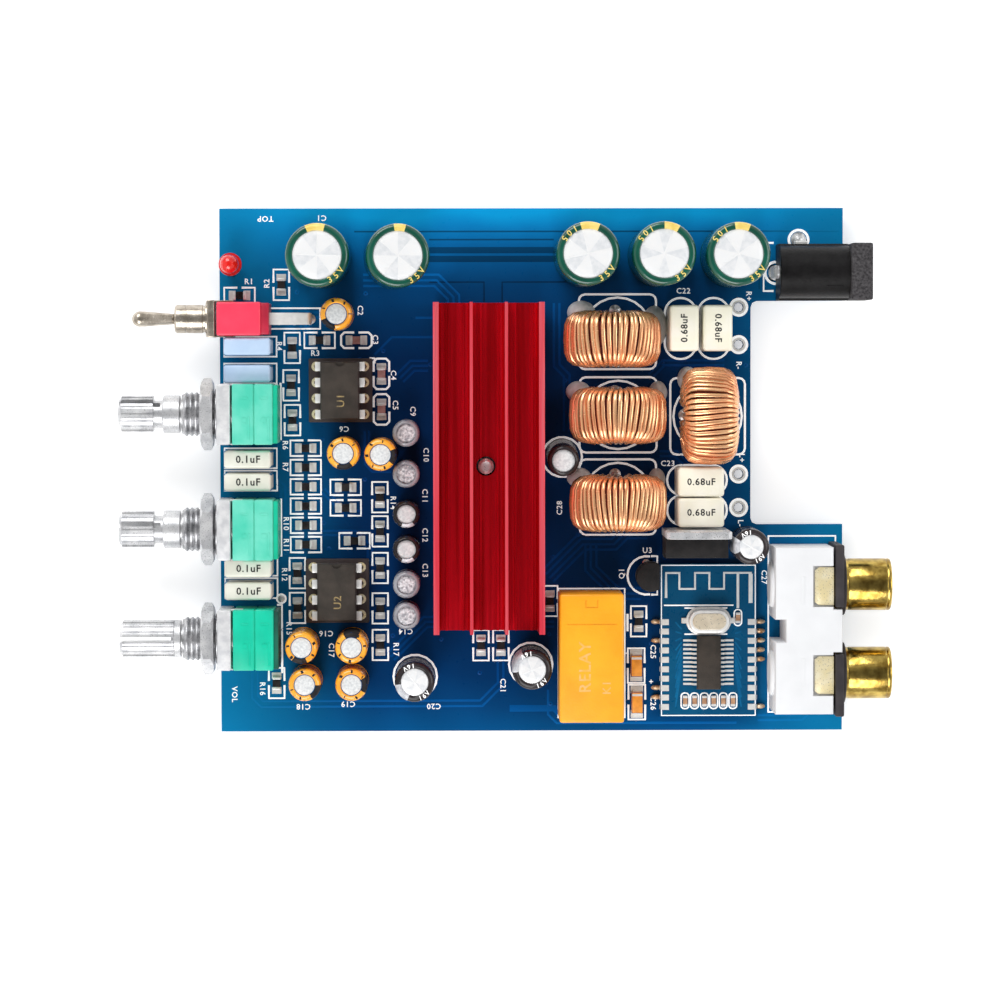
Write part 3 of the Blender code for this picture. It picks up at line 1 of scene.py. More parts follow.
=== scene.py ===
# %% [markdown]
# # A stereo amplifier board in Blender
#
# The object is a small assembled audio amplifier: a blue circuit board with a red finned
# heatsink, ring chokes wound with copper wire, knob shafts and a switch along its left edge,
# and a power jack and two gold phono sockets on its right edge.
#
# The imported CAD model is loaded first. It is the frame that every piece has to fit: its nodes
# say where things are, and its bodies say what moves. Many small boards are dressed in the
# same way, so the steps can be reused: a few helpers for turned and moulded shapes, one surface
# group for all finishes, and then one short cell for each kind of component.

import json
import math
import random

import bmesh
import bpy
from mathutils import Matrix, Vector


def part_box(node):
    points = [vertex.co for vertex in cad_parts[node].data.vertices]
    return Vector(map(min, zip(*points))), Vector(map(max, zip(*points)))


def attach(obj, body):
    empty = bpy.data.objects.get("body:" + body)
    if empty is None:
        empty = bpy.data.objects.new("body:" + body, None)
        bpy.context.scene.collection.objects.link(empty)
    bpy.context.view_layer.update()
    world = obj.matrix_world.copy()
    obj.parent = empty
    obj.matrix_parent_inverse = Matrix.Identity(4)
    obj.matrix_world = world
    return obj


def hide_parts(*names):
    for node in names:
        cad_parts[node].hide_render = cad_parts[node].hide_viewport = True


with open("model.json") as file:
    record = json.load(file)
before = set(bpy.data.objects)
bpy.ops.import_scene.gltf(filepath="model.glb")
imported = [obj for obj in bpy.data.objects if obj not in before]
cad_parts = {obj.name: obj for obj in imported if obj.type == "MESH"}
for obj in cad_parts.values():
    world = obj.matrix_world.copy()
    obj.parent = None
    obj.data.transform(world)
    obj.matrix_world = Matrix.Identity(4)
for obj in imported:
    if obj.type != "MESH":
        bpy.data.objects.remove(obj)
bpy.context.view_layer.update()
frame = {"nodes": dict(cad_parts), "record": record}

# %% [markdown]
# ## Working coordinates
#
# A board designer counts from the middle of the board, in millimetres, with heights above its
# top face. The frame is in metres with the solder joints on the floor. One offset joins the
# two: the board is 1.6 mm thick and stands on joints 1.5 mm high.

# %% Millimetres on the board
MM = 0.001
BOARD_THICKNESS = 1.6
JOINT_HEIGHT = 1.5
board_low, board_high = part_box("circuit_board")
BOARD_LENGTH, BOARD_WIDTH, _ = (board_high - board_low) / MM
ORIGIN = (board_low + board_high) / 2
ORIGIN.z = board_low.z + (BOARD_THICKNESS + JOINT_HEIGHT) * MM
TO_FRAME = Matrix.Translation(ORIGIN) @ Matrix.Scale(MM, 4)


def limits(node_name):
    """The lowest and highest corner of a CAD node, in millimetres on the board."""
    return [(corner - ORIGIN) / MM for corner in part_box(node_name)]


def middle(node_name):
    return sum(limits(node_name), Vector()) / 2


print("board", round(BOARD_LENGTH, 1), "x", round(BOARD_WIDTH, 1), "mm, middle at", tuple(ORIGIN))

# %% [markdown]
# ## Camera
#
# The photograph looks almost straight down from about 0.6 m with a long lens, so tall parts
# lean outwards a little from a point left of and above the middle of the board. That point is
# where the camera hangs. A camera that looks straight down has no natural "up", so its three
# axes are built by hand: back along the view, right across it, and up for what is left.

# %% The camera
def linked(name, data):
    """A new object in the scene."""
    made = bpy.data.objects.new(name, data)
    bpy.context.scene.collection.objects.link(made)
    return made


CAMERA_AT = Vector((-8.85, 18.2, 603.0)) * MM
CAMERA_AIM = Vector((-0.75, -4.8, 3.1)) * MM
SEEN_WIDTH = 160.8  # millimetres across the picture, at the board
ROLL = math.radians(-0.13)

back = (CAMERA_AT - CAMERA_AIM).normalized()
right = Vector((math.cos(ROLL), math.sin(ROLL), 0.0))
up = back.cross(right).normalized()
right = up.cross(back)
camera = linked("camera", bpy.data.cameras.new("camera"))
camera.matrix_world = Matrix.Translation(CAMERA_AT) @ Matrix((right, up, back)).transposed().to_4x4()
camera.data.lens = camera.data.sensor_width * (CAMERA_AT - CAMERA_AIM).length / (SEEN_WIDTH * MM)
camera.data.clip_start = 0.01
bpy.context.scene.camera = camera
bpy.context.scene.view_settings.view_transform = "Standard"
print("lens", round(camera.data.lens, 1), "mm")

# %% [markdown]
# ## Shapes
#
# Nearly everything on a board is either turned (cans, bushings, barrels), moulded as a block
# with soft edges, drawn as a line (tracks, printing, wire) or stamped from a flat outline.
# Each helper returns a small bmesh in millimetres, and add() puts it into the piece that is
# being built, so one piece can hold many shapes.

# %% Blocks, turned and stamped shapes
def mesh_of(bm, name):
    """A new mesh from a bmesh, which is let go."""
    mesh = bpy.data.meshes.new(name)
    bm.to_mesh(mesh)
    bm.free()
    return mesh


def moved(bm, matrix):
    bmesh.ops.transform(bm, matrix=matrix, verts=bm.verts)
    return bm


def spun(degrees, axis, size=4):
    """A turn about X, Y or Z."""
    return Matrix.Rotation(math.radians(degrees), size, axis)


def round_edges(bm, edges, width, segments):
    bmesh.ops.bevel(bm, geom=edges, offset=width, segments=segments, profile=0.5, affect="EDGES", material=-1)


def block(size, edge=0.0, segments=2, at=(0.0, 0.0, 0.0)):
    """A block about a point, with its edges rounded."""
    bm = bmesh.new()
    bmesh.ops.create_cube(bm, size=1.0)
    bmesh.ops.scale(bm, vec=size, verts=bm.verts)
    if edge:
        round_edges(bm, bm.edges[:], edge, segments)
    return moved(bm, Matrix.Translation(at))


def standing(low, high, edge=0.0, segments=2):
    """A block between two corners."""
    low, high = Vector(low), Vector(high)
    return block(high - low, edge, segments, (low + high) / 2)


def lathe(profile, sides=32, at=(0.0, 0.0, 0.0)):
    """A profile of radius and height, running down its outer side, turned about Z."""
    bm = bmesh.new()
    points = [bm.verts.new((radius, 0.0, height)) for radius, height in profile]
    edges = [bm.edges.new(pair) for pair in zip(points, points[1:])]
    bmesh.ops.spin(
        bm, geom=points + edges, cent=(0, 0, 0), axis=(0, 0, 1), angle=math.tau, steps=sides,
        use_merge=True, use_duplicate=False,
    )
    bmesh.ops.remove_doubles(bm, verts=bm.verts, dist=1e-5)
    bmesh.ops.recalc_face_normals(bm, faces=bm.faces)
    return moved(bm, Matrix.Translation(at))


def rod(radius, low, high, sides=32, at=(0.0, 0.0, 0.0)):
    """A plain cylinder between two heights, mostly for drilling."""
    return lathe([(0.0, high), (radius, high), (radius, low), (0.0, low)], sides, at)


def raised(bm, faces, height):
    """Gives flat faces a thickness."""
    made = bmesh.ops.extrude_face_region(bm, geom=faces)["geom"]
    lifted = [item for item in made if isinstance(item, bmesh.types.BMVert)]
    bmesh.ops.translate(bm, vec=(0.0, 0.0, height), verts=lifted)
    bmesh.ops.recalc_face_normals(bm, faces=bm.faces)
    return bm


def stamped(outline, low, high, edge=0.0, segments=1):
    """A flat outline in X and Y given a thickness, with its two rims rounded."""
    bm = bmesh.new()
    raised(bm, [bm.faces.new([bm.verts.new((x, y, low)) for x, y in outline])], high - low)
    if edge:
        rims = [e for e in bm.edges if abs(e.verts[0].co.z - e.verts[1].co.z) < 1e-6]
        round_edges(bm, rims, edge, segments)
    return bm


def arc(centre, radius, start, end, steps):
    """Points along an arc, with angles in degrees."""
    angles = [math.radians(start + (end - start) * i / steps) for i in range(steps + 1)]
    return [(centre[0] + radius * math.cos(a), centre[1] + radius * math.sin(a)) for a in angles]


# %% Lines, joined shapes and cuts
def evaluated(holder):
    """What an object's curve, text or modifier makes, as a bmesh; the object is thrown away."""
    bpy.context.view_layer.update()
    depsgraph = bpy.context.evaluated_depsgraph_get()
    mesh = bpy.data.meshes.new_from_object(holder.evaluated_get(depsgraph))
    bpy.data.objects.remove(holder)
    bm = bmesh.new()
    bm.from_mesh(mesh)
    bpy.data.meshes.remove(mesh)
    return bm


def wires(paths, diameter, roundness=0, closed=False):
    """Round wires along paths; a roundness of 0 gives them four sides."""
    curve = bpy.data.curves.new("line", "CURVE")
    curve.dimensions = "3D"
    curve.bevel_depth = diameter / 2
    curve.bevel_resolution = roundness
    curve.use_fill_caps = True
    for path in paths:
        spline = curve.splines.new("POLY")
        spline.points.add(len(path) - 1)
        for point, place in zip(spline.points, path):
            point.co = (*Vector(place).to_3d(), 1.0)
        spline.use_cyclic_u = closed
    return evaluated(linked("line", curve))


def drawn(paths, width, low, high, closed=False):
    """Flat lines of one width along paths in X and Y: wires that are squashed to strips."""
    squash = Matrix.Diagonal((1.0, 1.0, (high - low) / width, 1.0))
    lift = Matrix.Translation((0.0, 0.0, (low + high) / 2))
    return moved(wires(paths, width, closed=closed), lift @ squash)


def add(piece, part, at=(0.0, 0.0, 0.0), turned=(0.0, 0.0, 0.0), material=None):
    """Puts a shape into a piece, turned by degrees about X, Y and Z in that order, then moved."""
    x, y, z = turned
    moved(part, Matrix.Translation(at) @ spun(z, "Z") @ spun(y, "Y") @ spun(x, "X"))
    if material is not None:
        for face in part.faces:
            face.material_index = material
    carrier = mesh_of(part, "carrier")
    piece.from_mesh(carrier)
    bpy.data.meshes.remove(carrier)


def copies(make, places):
    """One piece with a new shape at each place: x, y, z and if need be a heading."""
    piece = bmesh.new()
    for x, y, z, *heading in places:
        add(piece, make(), (x, y, z), (0.0, 0.0, *(heading or [0.0])))
    return piece


def carve(bm, cutter, overlaps=False):
    """Cuts one shape out of another with an exact boolean; overlaps: the cutter crosses itself."""
    whole, tool = linked("whole", mesh_of(bm, "whole")), linked("tool", mesh_of(cutter, "tool"))
    step = whole.modifiers.new("Cut", "BOOLEAN")
    step.operation = "DIFFERENCE"
    step.solver = "EXACT"
    step.use_self = overlaps
    step.object = tool
    result = evaluated(whole)
    bpy.data.objects.remove(tool)
    return result


print("helpers ready")

# %% [markdown]
# ## Studio
#
# Product photographs of boards are lit by soft boxes from the sides, so that the camera, which
# looks straight down, sees no lamp mirrored in the flat lacquer: the blue stays deep. The
# world is therefore bright at the sides and dim straight above, and three soft lamps stand in
# front, behind and at the right. The floor is white paper. Camera, mirror and glass rays see it a
# little brighter than it is lit, so that it turns white but keeps the shadow of the board.

# %% Helpers for shader nodes
def fill(made, inputs):
    """Gives each named input of a node either a value or another node's socket."""
    for socket, value in inputs.items():
        if isinstance(value, bpy.types.NodeSocket):
            made.id_data.links.new(value, made.inputs[socket])
        else:
            made.inputs[socket].default_value = value
    return made


def node(tree, kind, inputs=None, **settings):
    """A new node with its settings and inputs."""
    made = tree.nodes.new(kind)
    for name, value in settings.items():
        setattr(made, name, value)
    return fill(made, inputs or {})


def math_node(tree, operation, *values):
    """A Math node's result."""
    return node(tree, "ShaderNodeMath", dict(enumerate(values)), operation=operation).outputs[0]


# %% World
WORLD_LEVEL, ZENITH_LEVEL = 0.66, 0.16
WHITE = (1.0, 1.0, 1.0, 1.0)

world = bpy.data.worlds.new("studio")
world.use_nodes = True
tree = world.node_tree
sky = node(tree, "ShaderNodeTexCoord").outputs["Generated"]
fade = node(tree, "ShaderNodeMapRange", {
    "Value": node(tree, "ShaderNodeSeparateXYZ", {"Vector": sky}).outputs["Z"],
    "From Min": 0.78, "From Max": 0.98, "To Min": WORLD_LEVEL, "To Max": ZENITH_LEVEL,
}, interpolation_type="SMOOTHSTEP")
mix = node(tree, "ShaderNodeMixShader", {
    0: node(tree, "ShaderNodeLightPath").outputs["Is Camera Ray"],
    1: node(tree, "ShaderNodeBackground", {"Color": WHITE, "Strength": fade.outputs["Result"]}).outputs[0],
    2: node(tree, "ShaderNodeBackground", {"Color": WHITE}).outputs[0],
})
fill(tree.nodes["World Output"], {"Surface": mix.outputs[0]})
bpy.context.scene.world = world

# %% Floor and lamps
FLOOR_GLOW = 0.42
FLOOR_SHADE = (0.86, 0.86, 0.86, 1.0)
LAMPS = (  # place in millimetres, size in metres, power in watts
    ("front", (-160, -560, 520), 0.5, 3.7), ("back", (-260, 620, 420), 0.45, 2.9),
    ("side", (620, 60, 480), 0.4, 1.45),
)

paper = bpy.data.materials.new("white paper sweep")
paper.use_nodes = True
tree = paper.node_tree
rays = node(tree, "ShaderNodeLightPath").outputs
mirrored = math_node(tree, "MAXIMUM", rays["Is Glossy Ray"], rays["Is Transmission Ray"])
watched = math_node(tree, "MAXIMUM", rays["Is Camera Ray"], mirrored)
fill(tree.nodes["Principled BSDF"], {
    "Base Color": FLOOR_SHADE, "Roughness": 0.9, "Specular IOR Level": 0.1, "Emission Color": WHITE,
    "Emission Strength": math_node(tree, "MULTIPLY", watched, FLOOR_GLOW),
})
sheet = bmesh.new()
bmesh.ops.create_grid(sheet, x_segments=1, y_segments=1, size=3.0)
floor = linked("floor", mesh_of(moved(sheet, Matrix.Translation((0.0, 0.0, -0.0002))), "floor"))
floor.data.materials.append(paper)

for name, place, size, power in LAMPS:
    lamp = bpy.data.lights.new(name, "AREA")
    lamp.size = size
    lamp.energy = power
    holder = linked(name, lamp)
    holder.location = Vector(place) * MM
    holder.rotation_euler = (-holder.location).to_track_quat("-Z", "Y").to_euler()
print("lamps", [name for name, *_ in LAMPS])

# %% [markdown]
# ## The surface group
#
# No surface is the same all over: moulded plastic has a faint orange peel, metal has fine
# drawn lines and patches that are duller, and printed lacquer pools. One node group makes all
# of that from two noises: a broad one that shifts colour from patch to patch, and a fine one
# that gives the relief and the gloss. Each finish places the group with its own scale and
# strength, and a Mapping node before it stretches the pattern where a surface was rolled.

# %% The group, and a finish that uses it
uneven = bpy.data.node_groups.new("uneven surface", "ShaderNodeTree")
for name, direction, kind in (
    ("Vector", "INPUT", "Vector"), ("Patch Scale", "INPUT", "Float"), ("Grain Scale", "INPUT", "Float"),
    ("Roughness", "INPUT", "Float"), ("Spread", "INPUT", "Float"),
    ("Mask", "OUTPUT", "Float"), ("Roughness", "OUTPUT", "Float"), ("Height", "OUTPUT", "Float"),
):
    uneven.interface.new_socket(name=name, in_out=direction, socket_type=f"NodeSocket{kind}")
given = node(uneven, "NodeGroupInput").outputs
patch, grain = (node(uneven, "ShaderNodeTexNoise", {
    "Vector": given["Vector"], "Scale": given[scale], "Detail": detail,
}).outputs["Fac"] for scale, detail in (("Patch Scale", 3.0), ("Grain Scale", 2.0)))
sharper = node(uneven, "ShaderNodeMapRange", {"Value": patch, "From Min": 0.35, "From Max": 0.65})
centred = math_node(uneven, "SUBTRACT", grain, 0.5)
node(uneven, "NodeGroupOutput", {
    "Mask": sharper.outputs["Result"], "Height": grain,
    "Roughness": math_node(uneven, "MULTIPLY_ADD", centred, given["Spread"], given["Roughness"]),
})


def paint(seen, lighter=1.0):
    """A colour as it is seen, in hexadecimal, turned into the linear values that a shader takes."""
    channels = [min(1.0, int(seen[i:i + 2], 16) * lighter / 255) for i in (0, 2, 4)]
    return (*(c / 12.92 if c <= 0.04045 else ((c + 0.055) / 1.055) ** 2.4 for c in channels), 1.0)


def finish(
    name, colour, other, roughness, bump=0.15, metallic=0.0, patch_scale=400.0, grain_scale=3500.0,
    spread=0.2, stretch=(1.0, 1.0, 1.0), **shader_values,
):
    """A Principled material whose colour, gloss and relief come from the surface group."""
    made = bpy.data.materials.new(name.replace("_", " "))
    made.use_nodes = True
    tree = made.node_tree
    place = node(tree, "ShaderNodeTexCoord").outputs["Object"]
    mapping = node(tree, "ShaderNodeMapping", {"Vector": place, "Scale": stretch})
    surface = node(tree, "ShaderNodeGroup", {
        "Vector": mapping.outputs["Vector"], "Patch Scale": patch_scale, "Grain Scale": grain_scale,
        "Roughness": roughness, "Spread": spread,
    }, node_tree=uneven, name="surface")
    mix = node(tree, "ShaderNodeMix", {
        "A": paint(colour), "B": paint(other), "Factor": surface.outputs["Mask"],
    }, data_type="RGBA", name="colours")
    relief = node(tree, "ShaderNodeBump", {
        "Strength": bump, "Distance": 0.0001, "Height": surface.outputs["Height"],
    })
    fill(tree.nodes["Principled BSDF"], {
        "Base Color": mix.outputs["Result"], "Roughness": surface.outputs["Roughness"],
        "Normal": relief.outputs["Normal"], "Metallic": metallic,
        **{socket.replace("_", " "): value for socket, value in shader_values.items()},
    })
    return made


# %% [markdown]
# ## The finishes of this board
#
# Tin and nickel plate, gold plate, enamelled copper and dyed aluminium differ in colour and in
# how tight their highlights are. A clear coat stands for the film of lacquer on sleeves. The
# finishes are listed by the frame's material slots, and the first of each slot is also what the
# frame's own nodes of that slot get. A row holds two colours, roughness, relief, metal, and the
# scales of the patches and of the grain, as far as they differ from the defaults above.

# %% The table of finishes
LACQUERED = {"Coat_Weight": 0.5, "Coat_Roughness": 0.1}
DULL = {"Specular_IOR_Level": 0.16}  # dark plastics and lacquers that mirror little
MOULDED = {"patch_scale": 260, "grain_scale": 2400}
ROLLED = {"stretch": (1.0, 0.02, 1.0)}
FINISHES = {
    "board": {
        "module_lacquer": ("0c567e", "084870", 0.3, 0.08, 0, 120, 1500, DULL),
        "module_track": ("116999", "0a5987", 0.3, 0.08, DULL),
    },
    "bright_steel": {
        "nickel": ("e2e2e3", "bebfc2", 0.3, 0.14, 0.5, 500, 5000),
        "warm_nickel": ("cec4b6", "a09688", 0.24, 0.1, 0.85, 600, 5000),
        "cast_nickel": ("e8e8e9", "cecfd2", 0.42, 0.3, 0.35, 700, 3500),
        "thread_metal": ("c4c4c6", "8e8f92", 0.3, 0.2, 0.7, 900, 3500),
        "tin": ("f7f7f5", "eaeae8", 0.34, 0.25, 0.35, 900, 3000),
        "solder": ("f5f5f5", "b1b2b4", 0.3, 0.4, 0.55, 900, 2500),
        "flux_solder": ("ecdbbe", "b87c45", 0.3, 0.4, 0.5, 700, 2500),
        "can_metal": ("f7f7f7", "f5f6f7", 0.4, 0.25, 0.3, 1200),
        "can_sector": ("f4f5f7", "e6e9ec", 0.42, 0.25, 0.4, 1200),
        "contact_metal": ("faf0ce", "f7e6b4", 0.25, 0.2, 0.45, 900),
        "aerial_metal": ("f5f7f7", "e8ecee", 0.4, 0.2, 0.3, 900),
        "crystal_metal": ("f7ead2", "ddd0b8", 0.3, 0.2, 0.4, 500),
        "grey_top": ("f3f4f7", "97989f", 0.5, 0.6, 0.2, 2600, 5000),
        "pale_top": ("e4e6e6", "c8cbcd", 0.5, 0.5, 0.1, 2600, 5000),
    },
    "gold_plate": {
        "gold": ("ccb05e", "8e7232", 0.18, 0.12, 1.0, 700, {"spread": 0.12}),
        # A pale copy of the gold for the flat tongues of the phono shells: a painted highlight.
        "gold_leaf": ("faf0d0", "eedeac", 0.3, 0.1, 0.4, 500),
        "gold_print": ("f7df87", "e6c764", 0.35, 0.1, 0.1, 600),
        "faded_print": ("a6905e", "6b5e45", 0.5, 0.1, 0, 1600),
    },
    "copper_wire": {"copper": ("ffc894", "f8a672", 0.24, 0.03, 0.7, 150, 2500, LACQUERED)},
    "iron_powder": {"core_powder": ("811a11", "600f0c", 0.6, 0.5, 0, 500, 2500)},
    "red_anodised": {
        "red_anodised": ("f7132c", "c90517", 0.34, 0.3, 0.8, 1100, 2600, ROLLED),
        # A lighter pink for the upward faces of the fin tips: a painted highlight.
        "fin_tip": ("fa6e7a", "f73f53", 0.3, 0.2, 0.5, 1100, 2600, ROLLED),
    },
    "black_plastic": {
        "black_plastic": ("222123", "1a181c", 0.45, DULL),
        "chip_plastic": ("433d38", "36322e", 0.55, 0.35, 0, 400, 6000, DULL),
        "socket_plastic": ("3c3434", "463e3e", 0.5, 0.25, 0, 400, 5000, DULL),
        "power_plastic": ("1e1d1e", "292727", 0.5, 0.3, 0, 500, 5000, DULL),
        "jack_plastic": ("0e0d0e", "181718", 0.42, 0.4, 0, 500, 2600, DULL),
        "eroded_plastic": ("2f2d2f", "4e4c4e", 0.6, 0.6, 0, 2400, 2600, DULL),
        "plate_plastic": ("403c3e", "343134", 0.5, 0.25, DULL),
        "relay_base": ("433a2d", "322b22", 0.5),
        "black_ink": ("1e1c1e", "2d2b2d", 0.5, 0.1, 0, 900, DULL),
        "resistor_black": ("222022", "363333", 0.3, 0.1, 0, 900, DULL),
    },
    "white_plastic": {
        "white_plastic": ("e4e5e7", "dedfe1", 0.42, 0.1, 0, 200),
        "white_case": ("eeece0", "e2e0d3", 0.38, 0.25, 0, 300, 1800),
        "blue_case": ("bcd2ec", "aec6e4", 0.38, 0.25, 0, 300, 1800),
        "glue": ("f6f6f4", "e4e4e2", 0.35, 0.3, 0, 900, 1200),
        # The white ink glows a little through its emission: painted light that keeps the print white in
        # shade.
        "white_ink": (
            "ffffff", "f4f7f8", 0.55, 0.1, 0, 900, 4000, {"Emission_Color": WHITE, "Emission_Strength": 0.3},
        ),
        "silver_print": ("e2e4e8", "acaeb4", 0.4, 0.3, 0.1, 900, 4000),
    },
    "cream_plastic": {
        "cream_case": ("faf6e8", "f7f3de", 0.35, 0.25, 0, 300, 1800),
        "chip_pink": ("c3928e", "a67873", 0.4, 0.1, 0, 900),
        "chip_tan": ("c99d7a", "a67c5e", 0.4, 0.1, 0, 900),
    },
    "yellow_plastic": {
        "relay_case": ("f7ad1b", "ec9f13", 0.4, 0.2, 0, 160, 2200),
        "relay_ink": ("f7b873", "f7b14b", 0.5, 0.1, 0, 900),
        "tantalum_body": ("f5a43a", "d88727", 0.45, 0.2, 0, 700),
        "orange_sleeve": ("fdb22e", "f9a31c", 0.25, 0.12, 0, 300, 1500, LACQUERED),
    },
    "green_plastic": {
        "pot_green": ("0ccba6", "05bc99", 0.35, MOULDED),
        "pot_pale": ("6dd6be", "4ac9ad", 0.35, MOULDED),
        "pot_rear": ("0ac39b", "08ad87", 0.35, MOULDED),
        "pot_rear_black": ("156b57", "0c4338", 0.4, MOULDED),
    },
    "red_plastic": {
        "switch_red": ("f7435f", "f73655", 0.36, MOULDED),
        "switch_red_dark": ("c31e3f", "a61532", 0.42, MOULDED),
    },
    "green_sleeve": {"green_sleeve": ("0a5745", "064536", 0.22, 0.12, 0, 200, 1500, LACQUERED)},
    "dark_sleeve": {
        "dark_sleeve": ("322b2d", "221e20", 0.25, 0.12, {"Coat_Weight": 0.3, **DULL}),
        "grey_sleeve": ("a6a7ad", "878890", 0.25, 0.12, 0, 300, 1500, LACQUERED),
    },
    "red_lens": {"red_lens": ("fa1e12", "f7140e", 0.14, 0.05, 0, 300, 1500, {
        "spread": 0.06, "Coat_Weight": 0.6, "Coat_Roughness": 0.05, "Transmission_Weight": 0.2,
    })},
}

finishes, slot_of = {}, {}
for slot, group in FINISHES.items():
    for name, row in group.items():
        more = row[-1] if isinstance(row[-1], dict) else {}
        finishes[name] = finish(name, *row[:len(row) - bool(more)], **more)
        slot_of[name] = slot
print(len(finishes), "finishes")

# %% [markdown]
# ## Solder mask
#
# The blue of a circuit board is a coloured lacquer over two different grounds. Where copper
# lies under it the blue is lighter and a little greener, and over bare laminate it is navy.
# Here the copper is poured along the board's edges and shows best along the top one, so
# a ramp runs along Y from the bottom edge to the top edge, and both side edges mix towards a teal
# with their own distance from the middle. The tracks are separate raised lines in a lighter
# blue, and gaps in the pour are drawn in navy.

# %% The blue lacquer
MASK_SIDE = "0a7caf"
MASK_RAMP = (  # share of the way from the bottom edge to the top edge, colour
    (0.0, "03538c"), (0.05, "03457c"), (0.11, "01386d"), (0.3, "012f62"), (0.72, "012f62"),
    (0.86, "044a83"), (0.93, "0664a4"), (0.97, "087ec0"), (1.0, "0a99d8"),
)


def solder_mask(name, lighter):
    """Lacquer that follows the ramp along Y, and turns teal towards both sides."""
    made = finish(name, MASK_SIDE, MASK_SIDE, 0.3, 0.08, 0.0, 60, 1500, 0.12, Specular_IOR_Level=0.1)
    tree = made.node_tree
    along, across = 2 / (BOARD_LENGTH * MM), 1 / (BOARD_WIDTH * MM)
    share = node(tree, "ShaderNodeMapping", {
        "Vector": tree.nodes["Texture Coordinate"].outputs["Object"], "Scale": (along, across, 0.0),
        "Location": (-ORIGIN.x * along, 0.5 - ORIGIN.y * across, 0.0),
    })
    parts = node(tree, "ShaderNodeSeparateXYZ", {"Vector": share.outputs["Vector"]}).outputs
    ragged = math_node(tree, "MULTIPLY_ADD", tree.nodes["surface"].outputs["Mask"], 0.02, parts["Y"])
    ramp = node(tree, "ShaderNodeValToRGB", {"Fac": ragged})
    while len(ramp.color_ramp.elements) < len(MASK_RAMP):
        ramp.color_ramp.elements.new(0.5)
    for stop, (place, colour) in zip(ramp.color_ramp.elements, MASK_RAMP):
        stop.position = place
        stop.color = paint(colour, lighter)
    sides = node(tree, "ShaderNodeMapRange", {
        "Value": math_node(tree, "ABSOLUTE", parts["X"]), "From Min": 0.5, "From Max": 1.1,
    }, interpolation_type="SMOOTHSTEP")
    fill(tree.nodes["colours"], {"A": ramp.outputs["Color"], "Factor": sides.outputs["Result"]})
    return made


for name, lighter in (("mask_lacquer", 1.0), ("track_lacquer", 1.3), ("gap_lacquer", 0.66)):
    finishes[name] = solder_mask(name, lighter)
    slot_of[name] = "board"

for part in frame["record"]["subparts"]:
    name = "mask_lacquer" if part["node"] == "circuit_board" else next(iter(FINISHES[part["material_slot"]]))
    for holder in frame["nodes"][part["node"]].material_slots:
        holder.material = finishes[name]
print(len(frame["nodes"]), "nodes have a finish")

# %% [markdown]
# ## Keeping a piece
#
# A finished piece has its place in its mesh and its object at the origin, as the frame's own
# nodes do, so that patterns in Object coordinates stay put.

# %% Turn a shape into a piece of the model
pieces_made = {}


def keep(bm, name, finish_names, replaced="", body="board", smooth=35.0):
    """Writes a bmesh in board millimetres as a piece that rides on a body."""
    mesh = mesh_of(moved(bm, TO_FRAME), name)
    mesh.shade_smooth()
    mesh.set_sharp_from_angle(angle=math.radians(smooth))
    for finish_name in finish_names.split():
        mesh.materials.append(finishes[finish_name])
    made = linked(name, mesh)
    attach(made, body)
    if replaced:
        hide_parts(*replaced.split())
    pieces_made[name] = len(mesh.polygons)


print("pieces can be kept")

# %% [markdown]
# ## Tracks under the lacquer
#
# Tracks show as slightly raised, lighter lines: wide supply tracks along the top, and bundles
# of thin ones that turn only by 45 degrees. Each is a line drawn as a thin squashed tube, and a
# bundle is one route repeated with an offset, with its corners moved so that the lines keep
# their distance.

# %% Tracks
TRACK_RISE, SUNK = 0.045, -0.02
THIN_ROUTES = (  # corners, lines side by side, distance between them
    (((-27.0, 29.6), (-15.6, 29.6), (-13.4, 27.4), (-13.4, 14.0)), 3, 0.9),
    (((-33.4, 25.4), (-36.0, 25.4), (-37.0, 24.4), (-37.0, 20.2)), 2, 0.8),
    (((-18.6, 24.5), (-14.6, 24.5), (-12.9, 22.8), (-12.9, 12.6)), 1, 0.8),
    (((-25.2, 18.6), (-22.4, 21.4), (-14.4, 21.4)), 1, 0.8),
    (((-20.6, 14.2), (-18.8, 16.0), (-16.6, 16.0)), 3, 0.8),
    (((-45.0, -30.6), (-45.0, -36.6), (-43.6, -38.0), (-8.0, -38.0), (-4.6, -34.6), (-4.6, -30.0)), 2, 0.9),
    (((-22.2, -30.6), (-16.8, -25.2), (3.6, -25.2)), 3, 0.8),
    (((3.4, -18.0), (8.6, -12.8), (13.6, -12.8), (15.4, -11.0), (18.6, -11.0)), 4, 0.85),
    (((3.6, 26.8), (3.6, 16.6), (5.2, 15.0), (5.2, 6.2)), 2, 0.9),
    (((8.6, -12.0), (8.6, -16.2), (13.2, -20.8), (17.6, -20.8)), 3, 0.9),
    (((-41.6, 6.0), (-41.6, -1.6), (-40.4, -2.8), (-40.4, -11.6)), 2, 0.8),
    (((-26.8, 6.4), (-26.8, 1.0), (-25.6, -0.2), (-22.6, -0.2)), 2, 0.7),
    (((-33.8, -3.4), (-30.0, -7.2), (-27.2, -7.2)), 2, 0.7),
    (((-34.0, -10.4), (-28.6, -10.4), (-26.4, -12.6), (-26.4, -17.6)), 2, 0.7),
    (((19.4, 14.8), (21.4, 16.8), (31.0, 16.8)), 2, 0.8), (((20.6, 2.2), (23.0, 2.2), (24.6, 0.6)), 2, 0.8),
    (((36.4, -40.4), (43.6, -40.4), (46.8, -37.2), (46.8, -33.0)), 2, 0.8),
    (((2.6, -35.4), (2.6, -39.4), (4.0, -40.8), (33.0, -40.8)), 1, 0.8),
)
WIDE_ROUTES = (((36.6, -11.6), (48.6, -11.6)), ((-3.6, -38.4), (3.6, -38.4), (5.0, -39.8)))
WIDE_GAPS = (((-16.4, 35.3), (3.6, 35.3)), ((-16.4, 33.9), (3.6, 33.9)))
